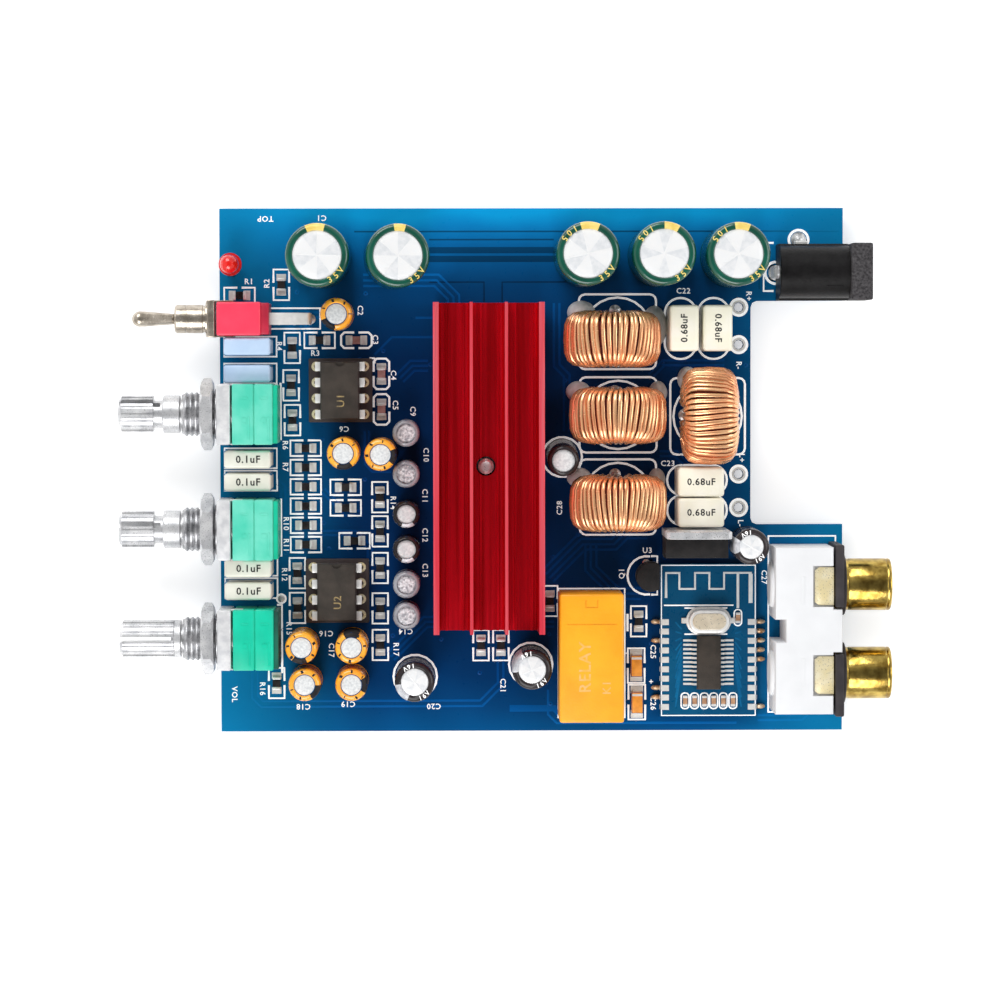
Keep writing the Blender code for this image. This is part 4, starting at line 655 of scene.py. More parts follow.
FINE_GAPS = (
    ((-28.4, 38.3), (49.4, 38.3)), ((-16.4, 37.0), (3.6, 37.0)), ((-16.4, 30.2), (-7.6, 30.2), (-7.6, 27.0)),
    ((-4.7, 27.0), (-4.7, 30.2), (6.0, 30.2)), ((36.6, 38.3), (36.6, 29.0)),
)


def bundle(route, count, pitch):
    """Copies of a route side by side, each moved across by the pitch at every corner."""
    corners = [Vector(point) for point in route]
    ways = [(end - start).normalized() for start, end in zip(corners, corners[1:])]
    lines = [[] for _ in range(count)]
    for here, before, after in zip(corners, ways[:1] + ways, ways + ways[-1:]):
        across = Vector((-before.y - after.y, before.x + after.x))
        for step, line in enumerate(lines):
            line.append(here + across * (2 * pitch * step / across.length_squared))
    return lines


tracks = bmesh.new()
for route, count, pitch in THIN_ROUTES:
    add(tracks, drawn(bundle(route, count, pitch), 0.4, SUNK, TRACK_RISE))
add(tracks, drawn(WIDE_ROUTES, 1.1, SUNK, TRACK_RISE))
keep(tracks, "board_tracks", "track_lacquer")
gaps = drawn(WIDE_GAPS, 1.0, SUNK, 0.03)
add(gaps, drawn(FINE_GAPS, 0.26, SUNK, 0.03))
keep(gaps, "gaps_in_the_pour", "gap_lacquer")
print(sum(count for _, count, _ in THIN_ROUTES), "thin tracks")

# %% [markdown]
# ## Pads and vias
#
# Every hole has a tinned ring, and the board is sprinkled with vias, which are small rings
# that the lacquer covers. A via is a turned washer. The four speaker pads at the step in the
# right edge are large tinned rings, and their wire hole goes through the board.

# %% Pads, vias and speaker pads
SPEAKER_PADS = ((33.3, 26.1), (33.3, 20.1), (33.3, -0.7), (33.3, -6.1))
SPEAKER_PAD_RADIUS, SPEAKER_HOLE = 1.3, 0.77
PAD_RISE = 0.06
VIA_PLACES = (
    (-37.6, 28.6), (-26.6, 28.4), (-15.0, 26.2), (-16.2, 17.0), (-15.6, 9.4), (-23.8, 19.2), (-33.0, 17.6),
    (-27.6, 17.8), (-33.6, 5.0), (-26.8, -1.4), (-33.4, -8.4), (-32.6, -12.6), (-39.6, -13.2), (-40.0, -25.6),
    (-22.4, -26.6), (-14.6, -27.2), (-8.4, -32.6), (2.8, -26.4), (3.4, -14.0), (7.4, -10.4), (5.4, 14.4),
    (6.6, 24.4), (21.0, 17.2), (34.4, 16.8), (22.0, -4.0), (21.4, -14.2), (19.2, -28.0), (3.0, -37.6),
    (44.0, -12.6), (-47.8, 25.6), (-47.6, 12.4), (-47.6, -22.2),
)


def washer(radius, hole, low, high, sides=36):
    """A flat ring."""
    return lathe([(hole, high), (radius, high), (radius, low), (hole, low), (hole, high)], sides)


pads = bmesh.new()
for x, y in SPEAKER_PADS:
    for low in (0.0, -BOARD_THICKNESS - PAD_RISE):
        add(pads, washer(SPEAKER_PAD_RADIUS, SPEAKER_HOLE, low, low + PAD_RISE, 32), (x, y, 0.0))
keep(pads, "speaker_pads", "tin")

VIA = [(0.14, 0.01), (0.16, 0.06), (0.32, 0.05), (0.4, -0.01), (0.1, -0.01)]
keep(copies(lambda: lathe(VIA, 10), [(x, y, 0.0) for x, y in VIA_PLACES]), "board_vias", "track_lacquer")
print(len(VIA_PLACES), "vias")

# %% [markdown]
# ## Chip components
#
# A chip resistor is a white ceramic tile with a black glaze on top and a tinned cap on each
# end. A chip capacitor is a plain ceramic body with the same caps. On this board all lie in one
# of two directions. The lists hold places, headings and kinds. Solder pads stick out past the
# caps.

# %% Chip resistors and capacitors
CHIP_LENGTH, CHIP_WIDTH, CHIP_HEIGHT, CHIP_CAP = 2.04, 1.29, 0.58, 0.42
ALONG = (
    *((-36.3, 3.6 - 3.1 * row) for row in range(6)), (-46.8, 28.1), (-34.0, 20.9), (-29.9, -2.7),
    (-29.9, -6.0), (-28.5, -11.3),
)
ACROSS = (
    (-40.1, 29.8), (-38.4, 19.7), (-38.6, 13.7), (-38.4, 8.1), (-24.4, -4.3), (-24.4, -9.8), (-24.4, -15.7),
    (-24.4, -22.2), (-24.4, -28.1), (-37.7, -16.5), (-37.7, -22.1), (-41.1, -34.2), (-8.2, -28.2),
    (-5.0, -28.2), (2.9, -21.1), (17.2, -24.4),
)
chips = [(x, y, 0, "resistor") for x, y in ALONG] + [(x, y, 90, "resistor") for x, y in ACROSS]
chips += [(-28.1, 20.9, 0, "capacitor"), (-24.1, 15.5, 90, "capacitor"), (-24.1, 9.8, 90, "capacitor")]
TANTALUMS = ((16.8, -31.5), (16.9, -37.4))
TANTALUM_SIZE = (1.84, 3.44, 1.82)

end_caps, lands, tiles = bmesh.new(), bmesh.new(), {"resistor": bmesh.new(), "capacitor": bmesh.new()}
tile_size = (CHIP_LENGTH - 2 * CHIP_CAP + 0.04, CHIP_WIDTH - 0.02, CHIP_HEIGHT - 0.03)
for x, y, heading, kind in chips:
    for side in (-1, 1):
        reach = side * (CHIP_LENGTH - CHIP_CAP) / 2
        cap = block((CHIP_CAP, CHIP_WIDTH, CHIP_HEIGHT), 0.07, 2, (reach, 0.0, CHIP_HEIGHT / 2 + 0.01))
        land = block((1.1, CHIP_WIDTH + 0.25, 0.1), 0.04, 1, (side * (CHIP_LENGTH / 2 + 0.15), 0.0, 0.03))
        add(end_caps, cap, (x, y, 0.0), (0, 0, heading))
        add(lands, land, (x, y, 0.0), (0, 0, heading))
    add(tiles[kind], block(tile_size, 0.04, 1), (x, y, CHIP_HEIGHT / 2), (0, 0, heading))
keep(end_caps, "chip_end_caps", "tin")
keep(tiles["resistor"], "chip_resistor_glaze", "resistor_black")
keep(tiles["capacitor"], "chip_capacitor_bodies", "chip_pink")

width, length, tall = TANTALUM_SIZE
spots = [(x, y, tall / 2 + 0.01) for x, y in TANTALUMS]
keep(copies(lambda: block(TANTALUM_SIZE, 0.16), spots), "tantalum_bodies", "tantalum_body")
tabs = bmesh.new()
for x, y in TANTALUMS:
    for across in (-(length + 0.1) / 2, (length + 0.1) / 2):
        add(tabs, block((1.3, 0.16, 1.1), 0.05, 1, (x, y + across, 0.56)))
        add(lands, block((2.0, 1.3, 0.1), 0.04, 1, (x, y + across * 1.1, 0.03)))
    add(tabs, block((width * 0.9, 0.36, 0.04), at=(x, y + 1.25, tall + 0.02)))
keep(tabs, "tantalum_tabs", "tin")
keep(lands, "solder_lands", "tin")
print(len(chips), "chips")

# %% [markdown]
# ## White printing
#
# The white lines on a board are screen printed after the lacquer: a frame for each part, and
# short generic names beside them, such as R for resistors and C for capacitors with a running
# number. A frame is one closed line, and a bracket is a line with a gap in the middle of the
# long sides. The ink is a few hundredths of a millimetre thick. It glows a little, which is painted
# light that keeps it white in shade.

# %% Printed frames
INK_WIDTH = 0.34
INK_RISE = 0.07
BLUE_FILMS, WHITE_FILMS = (19.9, 15.6), (2.0, -1.6, -15.3, -18.9)  # places along the left edge


def frame_path(x, y, width, height, corner=0.0, steps=3):
    """A rectangle about a point, with round corners if asked."""
    a, b = width / 2 - corner, height / 2 - corner
    if not corner:
        return [(x - a, y - b), (x + a, y - b), (x + a, y + b), (x - a, y + b)]
    turns = ((a, -b, -90), (a, b, 0), (-a, b, 90), (-a, -b, 180))
    return [p for dx, dy, start in turns for p in arc((x + dx, y + dy), corner, start, start + 90, steps)]


def bracket_pair(x, y, heading, length, width, gap, cut):
    """Two facing brackets about a chip, with cut corners for a capacitor."""
    half, reach = width / 2, length / 2
    ends = [(reach - cut, half), (reach, half - cut)] if cut else [(reach, half)]
    path = [(gap, half), *ends, *((x_end, -y_end) for x_end, y_end in ends[::-1]), (gap, -half)]
    turns = [spun(heading, "Z", 2) @ Matrix.Scale(side, 2) for side in (-1, 1)]
    return [[turn @ Vector(point) + Vector((x, y)) for point in path] for turn in turns]


closed_lines = [frame_path(*row) for row in (
    (-38.0, 24.4, 8.2, 3.3), (13.8, 22.2, 12.4, 12.0, 1.0), (13.9, 8.85, 12.4, 12.1, 1.0),
    (13.85, -4.35, 12.3, 12.1, 1.0), (28.3, 8.6, 12.0, 12.3, 1.0), (43.5, -24.9, 10.8, 28.4),
    (9.6, -29.5, 10.7, 20.8), (23.95, 22.7, 5.1, 9.8, 2.5, 6), (29.25, 22.7, 5.1, 9.8, 2.5, 6),
    (26.6, -1.65, 9.6, 4.8, 2.35, 6), (26.6, -6.5, 9.6, 4.8, 2.35, 6),
    *((-45.1, y, 8.4, 3.2) for y in BLUE_FILMS + WHITE_FILMS),
)]
closed_lines += [arc(place, size, 0, end, steps) for place, size, end, steps in (
    ((13.8, 22.2), 5.5, 345, 23), ((13.9, 8.85), 5.5, 345, 23), ((13.85, -4.35), 5.5, 345, 23),
    ((28.3, 8.6), 5.5, 345, 23), ((4.9, 2.1), 3.2, 340, 17), ((-18.8, -33.2), 3.5, 340, 17),
    ((-0.2, -31.3), 3.5, 340, 17),
)]
open_lines = [
    [(38.9, 36.4), (37.3, 36.4), (37.3, 28.7), (38.9, 28.7)], arc((18.5, -17.0), 3.1, 80, 280, 12),
    [(19.2, -13.9), (20.2, -13.9), (20.2, -20.1), (19.2, -20.1)], [(-40.3, 14.1), (-40.3, 4.9)],
    [(-40.3, -4.5), (-40.3, -13.8)], [(-41.0, -21.6), (-40.2, -21.6), (-40.2, -32.6)],
    [(-26.0, 18.0), (-25.2, 18.0), (-25.2, 17.2)], [(15.4, -23.2), (15.4, -26.0)],
]
for x, y, heading, kind in chips:
    open_lines += bracket_pair(x, y, heading, 4.9, 2.5, 0.35, 0.5 if kind == "capacitor" else 0.0)
for x, y in TANTALUMS:
    open_lines += bracket_pair(x, y - 0.05, 90, 5.6, 2.7, 0.4, 0.0)
printing = drawn(closed_lines, INK_WIDTH, SUNK, INK_RISE, closed=True)
add(printing, drawn(open_lines, INK_WIDTH, SUNK, INK_RISE))

# %% [markdown]
# ## Printed names
#
# The names are text objects turned into meshes. A board's designer turns each name to suit the
# space, so they are upright, on their side or upside down. The height of the letters is about
# 0.9 mm.

# %% Lettering
LETTER_SIZE = 1.25
LABELS = {  # heading: text and place
    0: (
        ("R1", -45.3, 30.3), ("R3", -34.7, 18.8), ("C22", 24.4, 28.7), ("C23", 21.9, 1.0),
        ("U3", 18.6, -13.0), ("+", 15.0, -29.6), ("+", 19.2, -34.2),
    ),
    90: (("R2", -42.4, 30.0), ("Q1", 14.5, -16.7), ("C28", 4.5, -6.1), ("R20", 13.4, -24.2)),
    180: (
        ("C1", -33.6, 40.5), ("C6", -30.1, 6.7), ("C14", -20.3, -25.9), ("C16", -33.1, -26.2),
        ("C18", -36.8, -38.0), ("C19", -29.6, -37.6), ("C20", -15.8, -38.0), ("TOP", -42.6, 40.4),
    ),
    -90: (
        ("C2", -27.5, 25.7), ("R4", -40.5, 20.0), ("C3", -25.1, 21.0), ("C4", -22.2, 15.3),
        ("C5", -21.9, 10.5), ("R5", -41.2, 13.3), ("R6", -39.6, 4.1), ("R7", -39.6, 0.6),
        ("C9", -19.1, 9.5), ("C10", -17.0, 2.5),
        ("C11", -17.2, -4.1), ("C12", -17.2, -10.4), ("C13", -17.2, -16.1), ("R10", -39.5, -8.5),
        ("R11", -39.5, -12.0), ("R12", -39.8, -16.7), ("R14", -22.3, -5.2), ("R15", -39.1, -25.4),
        ("C17", -32.3, -28.9), ("R16", -43.4, -35.1), ("R17", -21.9, -28.8), ("C21", -4.7, -34.7),
        ("VOL", -47.9, -36.0), ("R+", 34.9, 27.9), ("R-", 33.3, 16.8), ("L+", 33.8, 1.9), ("L-", 33.6, -8.6),
        ("C25", 19.5, -29.3), ("C26", 19.5, -37.6), ("C27", 37.4, -17.3),
    ),
}


def lettering(text, size):
    """A word as a thin flat mesh about the origin, in X and Y."""
    curve = bpy.data.curves.new("word", "FONT")
    curve.body = text
    curve.size = size
    curve.align_x = "CENTER"
    curve.align_y = "CENTER"
    curve.space_character = 1.12
    curve.offset = 0.015 * size
    curve.resolution_u = 2
    bm = evaluated(linked("word", curve))
    bmesh.ops.remove_doubles(bm, verts=bm.verts, dist=1e-4)
    return raised(bm, bm.faces[:], 0.05)


for heading, words in LABELS.items():
    for text, x, y in words:
        add(printing, lettering(text, LETTER_SIZE), (x, y, 0.01), (0, 0, heading))
keep(printing, "white_printing", "white_ink")
print(len(closed_lines) + len(open_lines), "lines,", sum(map(len, LABELS.values())), "names")

# %% [markdown]
# ## Electrolytic capacitors
#
# An electrolytic capacitor is an aluminium can in a shrunk plastic sleeve. The sleeve folds
# over the rim and leaves a bare disc on top, which is scored so that it can open under
# pressure. A bead is rolled in round the foot, where the rubber seal sits, and a stripe down
# one side marks the negative lead. Both the sleeve and the disc are turned. The stripe is the
# same mesh with another finish on a few of its faces, so it follows the fold and the bead.

# %% Shapes of a can
CAN_SIDES = 48
FOOT = 1.3
STRIPE_FOOT = 2.6  # the stripe starts above the bead
# Part of each quarter of a scored disc takes a darker colour: painted shade of sectors that catch the light
# unevenly.
SHADED_SECTOR = 38  # degrees out of each quarter of a scored disc that look duller


def sleeve_profile(radius, height, fold):
    """From the foot, up the wall and over the rim, to the inner edge of the fold."""
    bead = 0.34 if radius > 2.3 else 0.2
    outer = ((0.7, 0.0), (0.15, 0.02), (0.0, 0.2), (0.0, FOOT * 0.75), (bead, FOOT * 1.1), (0.0, FOOT * 1.5))
    rim = (
        (0.0, 0.75), (0.08, 0.35), (0.32, 0.08), (0.65, 0.0), (fold - 0.15, 0.06), (fold, 0.22), (fold, 0.5),
    )
    wall = [(radius - inward, up) for inward, up in outer]
    return wall + [(radius - inward, height - down) for inward, down in rim]


def top_profile(radius, height):
    rings = ((0.0, 0.2), (radius * 0.55, 0.19), (radius * 0.9, 0.24), (radius, 0.34), (radius + 0.1, 0.6))
    return [(ring, height - down) for ring, down in rings]


def tilted(x, y, lift=0.0, lean_x=0.0, lean_y=0.0):
    """The place of a can whose top leans by angles about X and about Y."""
    return Matrix.Translation((x, y, lift)) @ spun(lean_y, "Y") @ spun(lean_x, "X")


def bearing(face, start):
    """Where a face lies about Z, in degrees on from a start."""
    centre = face.calc_center_median()
    return math.degrees(math.atan2(centre.y, centre.x)) - start


def can(shells, tops, place, radius, height, fold, stripe=None, score=0.0):
    """A sleeve with a stripe between two angles, and a disc that a score parts into sectors, part of each
    quarter painted darker as shade.
    """
    sleeve = lathe(sleeve_profile(radius, height, fold), CAN_SIDES)
    if stripe:
        for face in sleeve.faces:
            striped = bearing(face, stripe[0]) % 360 < (stripe[1] - stripe[0]) % 360
            face.material_index = int(striped and face.calc_center_median().z > STRIPE_FOOT)
    disc = lathe(top_profile(radius - fold - 0.02, height), CAN_SIDES)
    if score:
        # The sectors take the second, darker finish of the disc: painted shade.
        for face in disc.faces:
            face.material_index = int(bearing(face, score) % 90 < SHADED_SECTOR)
        for heading in (score, score + 90):
            end = spun(heading, "Z", 2) @ Vector(((radius - fold) * 0.82, 0.0))
            add(disc, drawn([[-end, end]], 0.2, height - 0.2, height - 0.14))
    add(shells, moved(sleeve, place))
    add(tops, moved(disc, place))


def rim_letters(piece, word, place, ring, height, start, size=1.35):
    """Letters that follow the rim of a can, each turned so that its foot points to the middle."""
    for step, letter in enumerate(word):
        out = spun(start + 15 * step, "Z") @ Matrix.Translation((ring, 0.0, height - 0.02))
        add(piece, moved(lettering(letter, size), place @ out @ spun(90, "Z")))


# %% The large and medium cans
TEN_FLATS = math.cos(math.radians(18))  # how far the flats of the frame's ten-sided cans are out
RESERVOIRS = (  # lean towards +X, where the stripe starts and ends, turn of the score
    (0.0, 78, 112, 88), (2.5, 72, 98, 50), (0.0, 70, 104, 12), (0.0, 62, 92, 70), (0.0, 66, 96, 35),
)
SMOOTHING = (  # lean about X, fold of the sleeve, stripe, turn of the score
    (0.0, 0.95, (190, 250), 40), (0.0, 0.95, (120, 190), 20), (5.0, 0.7, None, 0), (0.0, 0.9, (150, 200), 60),
)
RESERVOIR_FOLD = 1.15
gold_marks, white_marks = bmesh.new(), bmesh.new()
for index, (lean, start, end, score) in enumerate(RESERVOIRS, 1):
    stands_for = f"reservoir_capacitor_{index}"
    low, high = limits(stands_for)
    radius, slope = (high.y - low.y) / 2 / TEN_FLATS, math.radians(lean)
    height = (high.z - low.z - 2 * radius * math.sin(slope)) / math.cos(slope)
    foot_x = low.x + radius * math.cos(slope)
    place = tilted(foot_x, (low.y + high.y) / 2, low.z + radius * math.sin(slope), 0.0, lean)
    shells, tops = bmesh.new(), bmesh.new()
    can(shells, tops, place, radius, height, RESERVOIR_FOLD, (start, end), score)
    rim_letters(gold_marks, "35V", place, radius - 0.62, height, -62)
    if index > 2:
        rim_letters(gold_marks, "105", place, radius - 0.62, height, 118)
    keep(shells, f"reservoir_sleeve_{index}", "green_sleeve gold_print", stands_for)
    keep(tops, f"reservoir_top_{index}", "can_metal can_sector", stands_for)
keep(gold_marks, "reservoir_marks", "gold_print")

for index, (lean, fold, stripe, score) in enumerate(SMOOTHING, 1):
    stands_for = f"smoothing_capacitor_{index}"
    low, high = limits(stands_for)
    radius, slope = (high.x - low.x) / 2, math.radians(lean)
    height = (high.z - low.z - radius * math.sin(slope) * 2 * 0.951) / math.cos(slope)
    foot_y = high.y - radius * TEN_FLATS * math.cos(slope)
    place = tilted((low.x + high.x) / 2, foot_y, low.z + radius * math.sin(slope), lean)
    shells, tops = bmesh.new(), bmesh.new()
    can(shells, tops, place, radius, height, fold, stripe, score)
    for heading in (-70, 95) if score else ():
        rim_letters(white_marks, "16V", place, radius - 0.5, height, heading, 1.0)
    keep(shells, f"smoothing_sleeve_{index}", "dark_sleeve silver_print", stands_for)
    keep(tops, f"smoothing_top_{index}", "can_metal can_sector" if score else "pale_top", stands_for)
keep(white_marks, "smoothing_marks", "white_ink")

# %% The small cans, with plain bars for the marks on the orange rims
ORANGE_CANS = (  # place, start of the stripe
    (-31.0, 25.0, 200), (-30.0, 3.0, 250), (-24.1, 2.8, 320), (-36.7, -27.7, 230), (-28.8, -27.7, 60),
    (-36.2, -33.6, 300), (-28.8, -33.6, 330),
)
ORANGE_RADIUS, ORANGE_HEIGHT = 2.56, 11.28
BAR_INSET = 0.42  # from the wall to the middle of a bar on the rim
SMALL_RADIUS, SMALL_HEIGHT = 2.16, 7.28
SMALL_X = -20.1
SMALL_YS = (6.1, -0.4, -6.8, -12.4, -18.0, -23.0)
orange, orange_tops, grey, grey_tops, brown, brown_tops, bars = (bmesh.new() for _ in range(7))
for index, (x, y, start) in enumerate(ORANGE_CANS):
    can(orange, orange_tops, tilted(x, y), ORANGE_RADIUS, ORANGE_HEIGHT, 0.85, (start, start + 60))
    for step in range(6):
        bar = block((0.5, 0.16 + 0.12 * (step % 3), 0.05))
        out = spun(40 * index + 52 * step, "Z") @ Matrix.Translation((ORANGE_RADIUS - BAR_INSET, 0.0, 0.0))
        add(bars, moved(bar, out @ spun(20 * (step % 2), "Z")), (x, y, ORANGE_HEIGHT - 0.01))
for index, y in enumerate(SMALL_YS):
    dark = index in (2, 3)
    shells, tops = (brown, brown_tops) if dark else (grey, grey_tops)
    stripe = (250, 310) if dark else None
    can(shells, tops, tilted(SMALL_X, y), SMALL_RADIUS, SMALL_HEIGHT, 0.55, stripe)
for piece, name, finish_names in (
    (orange, "orange_sleeves", "orange_sleeve black_ink"), (orange_tops, "orange_can_tops", "pale_top"),
    (grey, "small_grey_sleeves", "grey_sleeve"), (grey_tops, "small_grey_tops", "grey_top"),
    (brown, "small_brown_sleeves", "dark_sleeve silver_print"), (brown_tops, "small_brown_tops", "pale_top"),
    (bars, "orange_sleeve_bars", "black_ink"),
):
    keep(piece, name, finish_names)
print("cans done")

# %% [markdown]
# ## Film capacitors
#
# A film capacitor is dipped or cast in epoxy: a box with soft edges and slightly crowned
# faces. The small ones stand over the frame's own plain blocks and are a hair larger. The four
# large ones replace their nodes. Each large one carries a short generic value in black.

# %% Film capacitors
FILM_X = -45.2
SMALL_FILM = (7.46, 2.76, 8.54)
for name, case, places in (("blue", "blue_case", BLUE_FILMS), ("white", "white_case", WHITE_FILMS)):
    spots = [(FILM_X, y, SMALL_FILM[2] / 2 + 0.02) for y in places]
    keep(copies(lambda: block(SMALL_FILM, 0.45, 3), spots), f"{name}_film_capacitors", case)
spots = [(FILM_X + 0.1, y, SMALL_FILM[2] + 0.02) for y in WHITE_FILMS]
values = copies(lambda: lettering("0.1uF", 1.6), spots)
for index, heading in enumerate((90, -90, 0, 0), 1):
    low, high = limits(f"filter_capacitor_{index}")
    keep(standing(low, high, 0.5, 3), f"film_case_{index}", "cream_case", f"filter_capacitor_{index}")
    spot = ((low.x + high.x) / 2, (low.y + high.y) / 2, high.z - 0.01)
    add(values, lettering("0.68uF", 1.5), spot, (0, 0, heading))
keep(values, "film_values", "black_ink")
print("film capacitors done")

# %% [markdown]
# ## Heatsink
#
# The heatsink is an aluminium extrusion, dyed red after it was cut to length. Its section is
# one outline: a base, four fins that get thinner towards their tips, and low ribs in the
# channels. The die also leaves small steps on the sides of the fins. The section is stamped
# flat and turned upright, so that its length runs along Y, and the saw leaves two sharp ends.
# The upward faces at the tips of the fins get a lighter pink, which is a painted highlight.

# %% The extrusion
sink_low, sink_high = limits("heatsink")
SINK_MIDDLE_X = (sink_low.x + sink_high.x) / 2
SINK_WIDTH, _, SINK_TALL = sink_high - sink_low
SINK_BASE = 3.5
OUTER_FIN, INNER_FIN = 0.95, 0.62
FIN_STEPS = (  # share of the height, what comes on top of it, and how far out from half the thickness
    (0, 0, 0.22), (0, 0.35, 0.05), (0.3, 0, 0.03), (0.3, 0.1, -0.08), (0.36, 0, -0.08), (0.36, 0.1, 0),
    (0.7, 0, -0.03), (0.7, 0.1, -0.11), (0.76, 0, -0.11), (0.76, 0.1, -0.04), (1, -0.12, -0.06),
    (1, 0, -0.18),
)


def fin_side(middle, half, way):
    """Heights and places up one side of a fin; way is 1 on its right and -1 on its left."""
    rise = SINK_TALL - SINK_BASE
    return [(middle + way * (half + out), SINK_BASE + share * rise + more) for share, more, out in FIN_STEPS]


def low_rib(middle):
    return [(middle + x, SINK_BASE + rise) for x, rise in ((0.24, 0), (0.16, 0.6), (-0.16, 0.6), (-0.24, 0))]


half = SINK_WIDTH / 2
section = [(-half + 0.3, 0.0), (half - 0.3, 0.0), (half, 0.3)]
fins = [half - OUTER_FIN / 2 - fin * (SINK_WIDTH - OUTER_FIN) / 3 for fin in range(4)]
for fin, place in enumerate(fins):
    thick = (OUTER_FIN if fin in (0, 3) else INNER_FIN) / 2
    right_side, left_side = fin_side(place, thick, 1), fin_side(place, thick, -1)[::-1] + low_rib(place - 1.3)
    if fin == 0:
        right_side = [(half, SINK_TALL - 0.15), (half - 0.15, SINK_TALL)]
    else:
        right_side = low_rib(place + 1.55) + right_side
    if fin == 3:
        left_side = [(-half + 0.15, SINK_TALL), (-half, SINK_TALL - 0.15), (-half, 0.3)]
    section += right_side + left_side
upright = Matrix.Translation((SINK_MIDDLE_X, 0.0, sink_low.z)) @ spun(90, "X")
heatsink = moved(stamped(section, -sink_high.y, -sink_low.y), upright)
SCREW_AT = (*middle("heatsink_screw").xy, 0.0)
heatsink = carve(heatsink, rod(1.55, -1.0, 30.0, 24, SCREW_AT))
heatsink.normal_update()
# Upward faces at the top of the fins take the lighter finish: a painted highlight on the fin tips.
for face in heatsink.faces:
    face.material_index = int(face.calc_center_median().z > sink_high.z - 0.3 and face.normal.z > 0.3)
keep(heatsink, "heatsink_extrusion", "red_anodised fin_tip", "heatsink", smooth=30.0)
print("fins at", [round(place + SINK_MIDDLE_X, 2) for place in fins])

# %% [markdown]
# ## Screw
#
# One screw comes up through the board into the heatsink. Its thread is a stack of small
# ridges, which from a hand's distance can't be told from a true helix. The cross in its head is
# cut by a boolean.

# %% The screw from below
def thread(radius, low, high, pitch, depth):
    """Radii and heights of a threaded rod, from its lower end up."""
    turns = int((high - low) / pitch)
    points = []
    for index in range(turns):
        foot = low + index * (high - low) / turns
        points += [(radius - depth, foot), (radius, foot + pitch * 0.35), (radius, foot + pitch * 0.6)]
    return points + [(radius - depth, high)]


foot, top = (corner.z for corner in limits("heatsink_screw"))
head_top = -BOARD_THICKNESS - 0.3
head = [(0.0, foot), (1.5, foot), (2.1, foot + 0.3), (2.25, head_top - 0.1), (2.2, head_top)]
screw = lathe(head + thread(1.24, head_top, top - 0.25, 0.45, 0.16) + [(0.8, top), (0.0, top - 0.2)], 24)
for half_x, half_y in ((0.25, 1.1), (1.1, 0.25)):
    screw = carve(screw, standing((-half_x, -half_y, foot - 1.0), (half_x, half_y, foot + 0.5)))
moved(screw, Matrix.Translation(SCREW_AT))
keep(screw, "heatsink_screw_turned", "nickel", "heatsink_screw", smooth=25.0)
print("screw", pieces_made["heatsink_screw_turned"], "faces")

# %% [markdown]
# ## Chokes
#
# A choke is a ring of pressed iron powder with one layer of enamelled copper wire outside and
# two inside the hole, where there is less room. The wire is a curve: for each turn it goes once
# round a rounded rectangle, the section of the ring, while it also moves on along the ring.
# Every second turn sits a little further into the hole. A slow wobble keeps the turns from
# being perfectly even, since they are wound by hand over a hook.

# %% Windings
WIRE = 0.68
TURNS, STEPS = 48, 14
OPEN_ANGLE = 34.0
LEAD = 3.4  # from the middle of the ring to either lead
FACE, HOLE = 4.25, 3.3
NESTED = 0.62 * WIRE  # how much further every second turn sits into the hole
RAISED = 0.5 * WIRE  # how much further it stands off the face there
CORE_EDGE = ((3.75, 2.6), (4.0, 2.85), (6.5, 2.85), (6.75, 2.6))


def squared(value, power=0.62):
    """A sine or cosine pushed towards its ends, which turns a circle into a rounded rectangle."""
    return math.copysign(abs(value) ** power, value)


def winding(rim, foot):
    """The path of one wire round an upright ring about the origin, and down to the board."""
    wobble = [random.uniform(-1.0, 1.0) for _ in range(TURNS + 1)]
    lean = random.uniform(2.0, 4.0)
    start = math.radians(OPEN_ANGLE / 2 - 90.0)
    pitch = math.radians(360.0 - OPEN_ANGLE) / TURNS
    path = []
    for turn in range(TURNS):
        inner, deeper = HOLE - (turn % 2) * NESTED, (turn % 2) * RAISED
        for step in range(STEPS):
            share = step / STEPS
            phase = math.tau * share
            out, over = squared(math.cos(phase)), squared(math.sin(phase))
            depth = over * (FACE + deeper * (0.5 - 0.5 * out)) * (0.93 - 0.07 * out)
            slack = (1 - share) * wobble[turn] + share * wobble[turn + 1]
            angle = start + pitch * (turn + share + 0.16 * slack + 0.6 * over * math.sin(lean + turn * 0.3))
            radius = (1.0 + 0.004 * slack) * ((rim + inner) / 2 + (rim - inner) / 2 * out)
            path.append((radius * math.cos(angle), radius * math.sin(angle), depth))
    low = -rim - 0.1
    return [(0.0, foot, LEAD), (0.0, low, LEAD), *path, (0.0, low, -LEAD), (0.0, foot, -LEAD)]


random.seed(7)
for index, heading in enumerate((0, 0, 0, 90), 1):
    centre = middle(f"choke_core_{index}")
    rim = limits(f"choke_winding_{index}")[1].z - centre.z - WIRE / 2 - 0.02
    upright = Matrix.Translation(centre) @ spun(heading, "Z") @ spun(90, "X")
    ring = moved(wires([winding(rim, -1.0 - centre.z)], WIRE, 1), upright)
    keep(ring, f"choke_wire_{index}", "copper", f"choke_winding_{index}", smooth=60.0)
    profile = [*CORE_EDGE, *((radius, -height) for radius, height in CORE_EDGE[::-1]), CORE_EDGE[0]]
    keep(moved(lathe(profile, 48), upright), f"choke_ring_{index}", "core_powder", f"choke_core_{index}")
print("winding", pieces_made["choke_wire_1"], "faces each")

# %% [markdown]
# ## Glue
#
# The chokes are held by domes of hot glue at their ends. A dome is a flattened sphere, and two
# that run into each other make an uneven one.

# %% Domes of glue beside the chokes
GLUE = (  # place, half widths in X and Y, height
    (8.0, 25.3, 2.3, 1.9, 2.9), (19.7, 23.0, 2.1, 3.4, 2.8), (7.5, 12.6, 2.0, 1.7, 2.4),
    (20.3, 12.4, 1.5, 1.9, 2.2), (7.6, -1.2, 2.0, 1.6, 2.3), (20.1, -1.6, 1.4, 1.9, 2.2),
    (25.1, 14.6, 1.7, 2.0, 2.2),
)


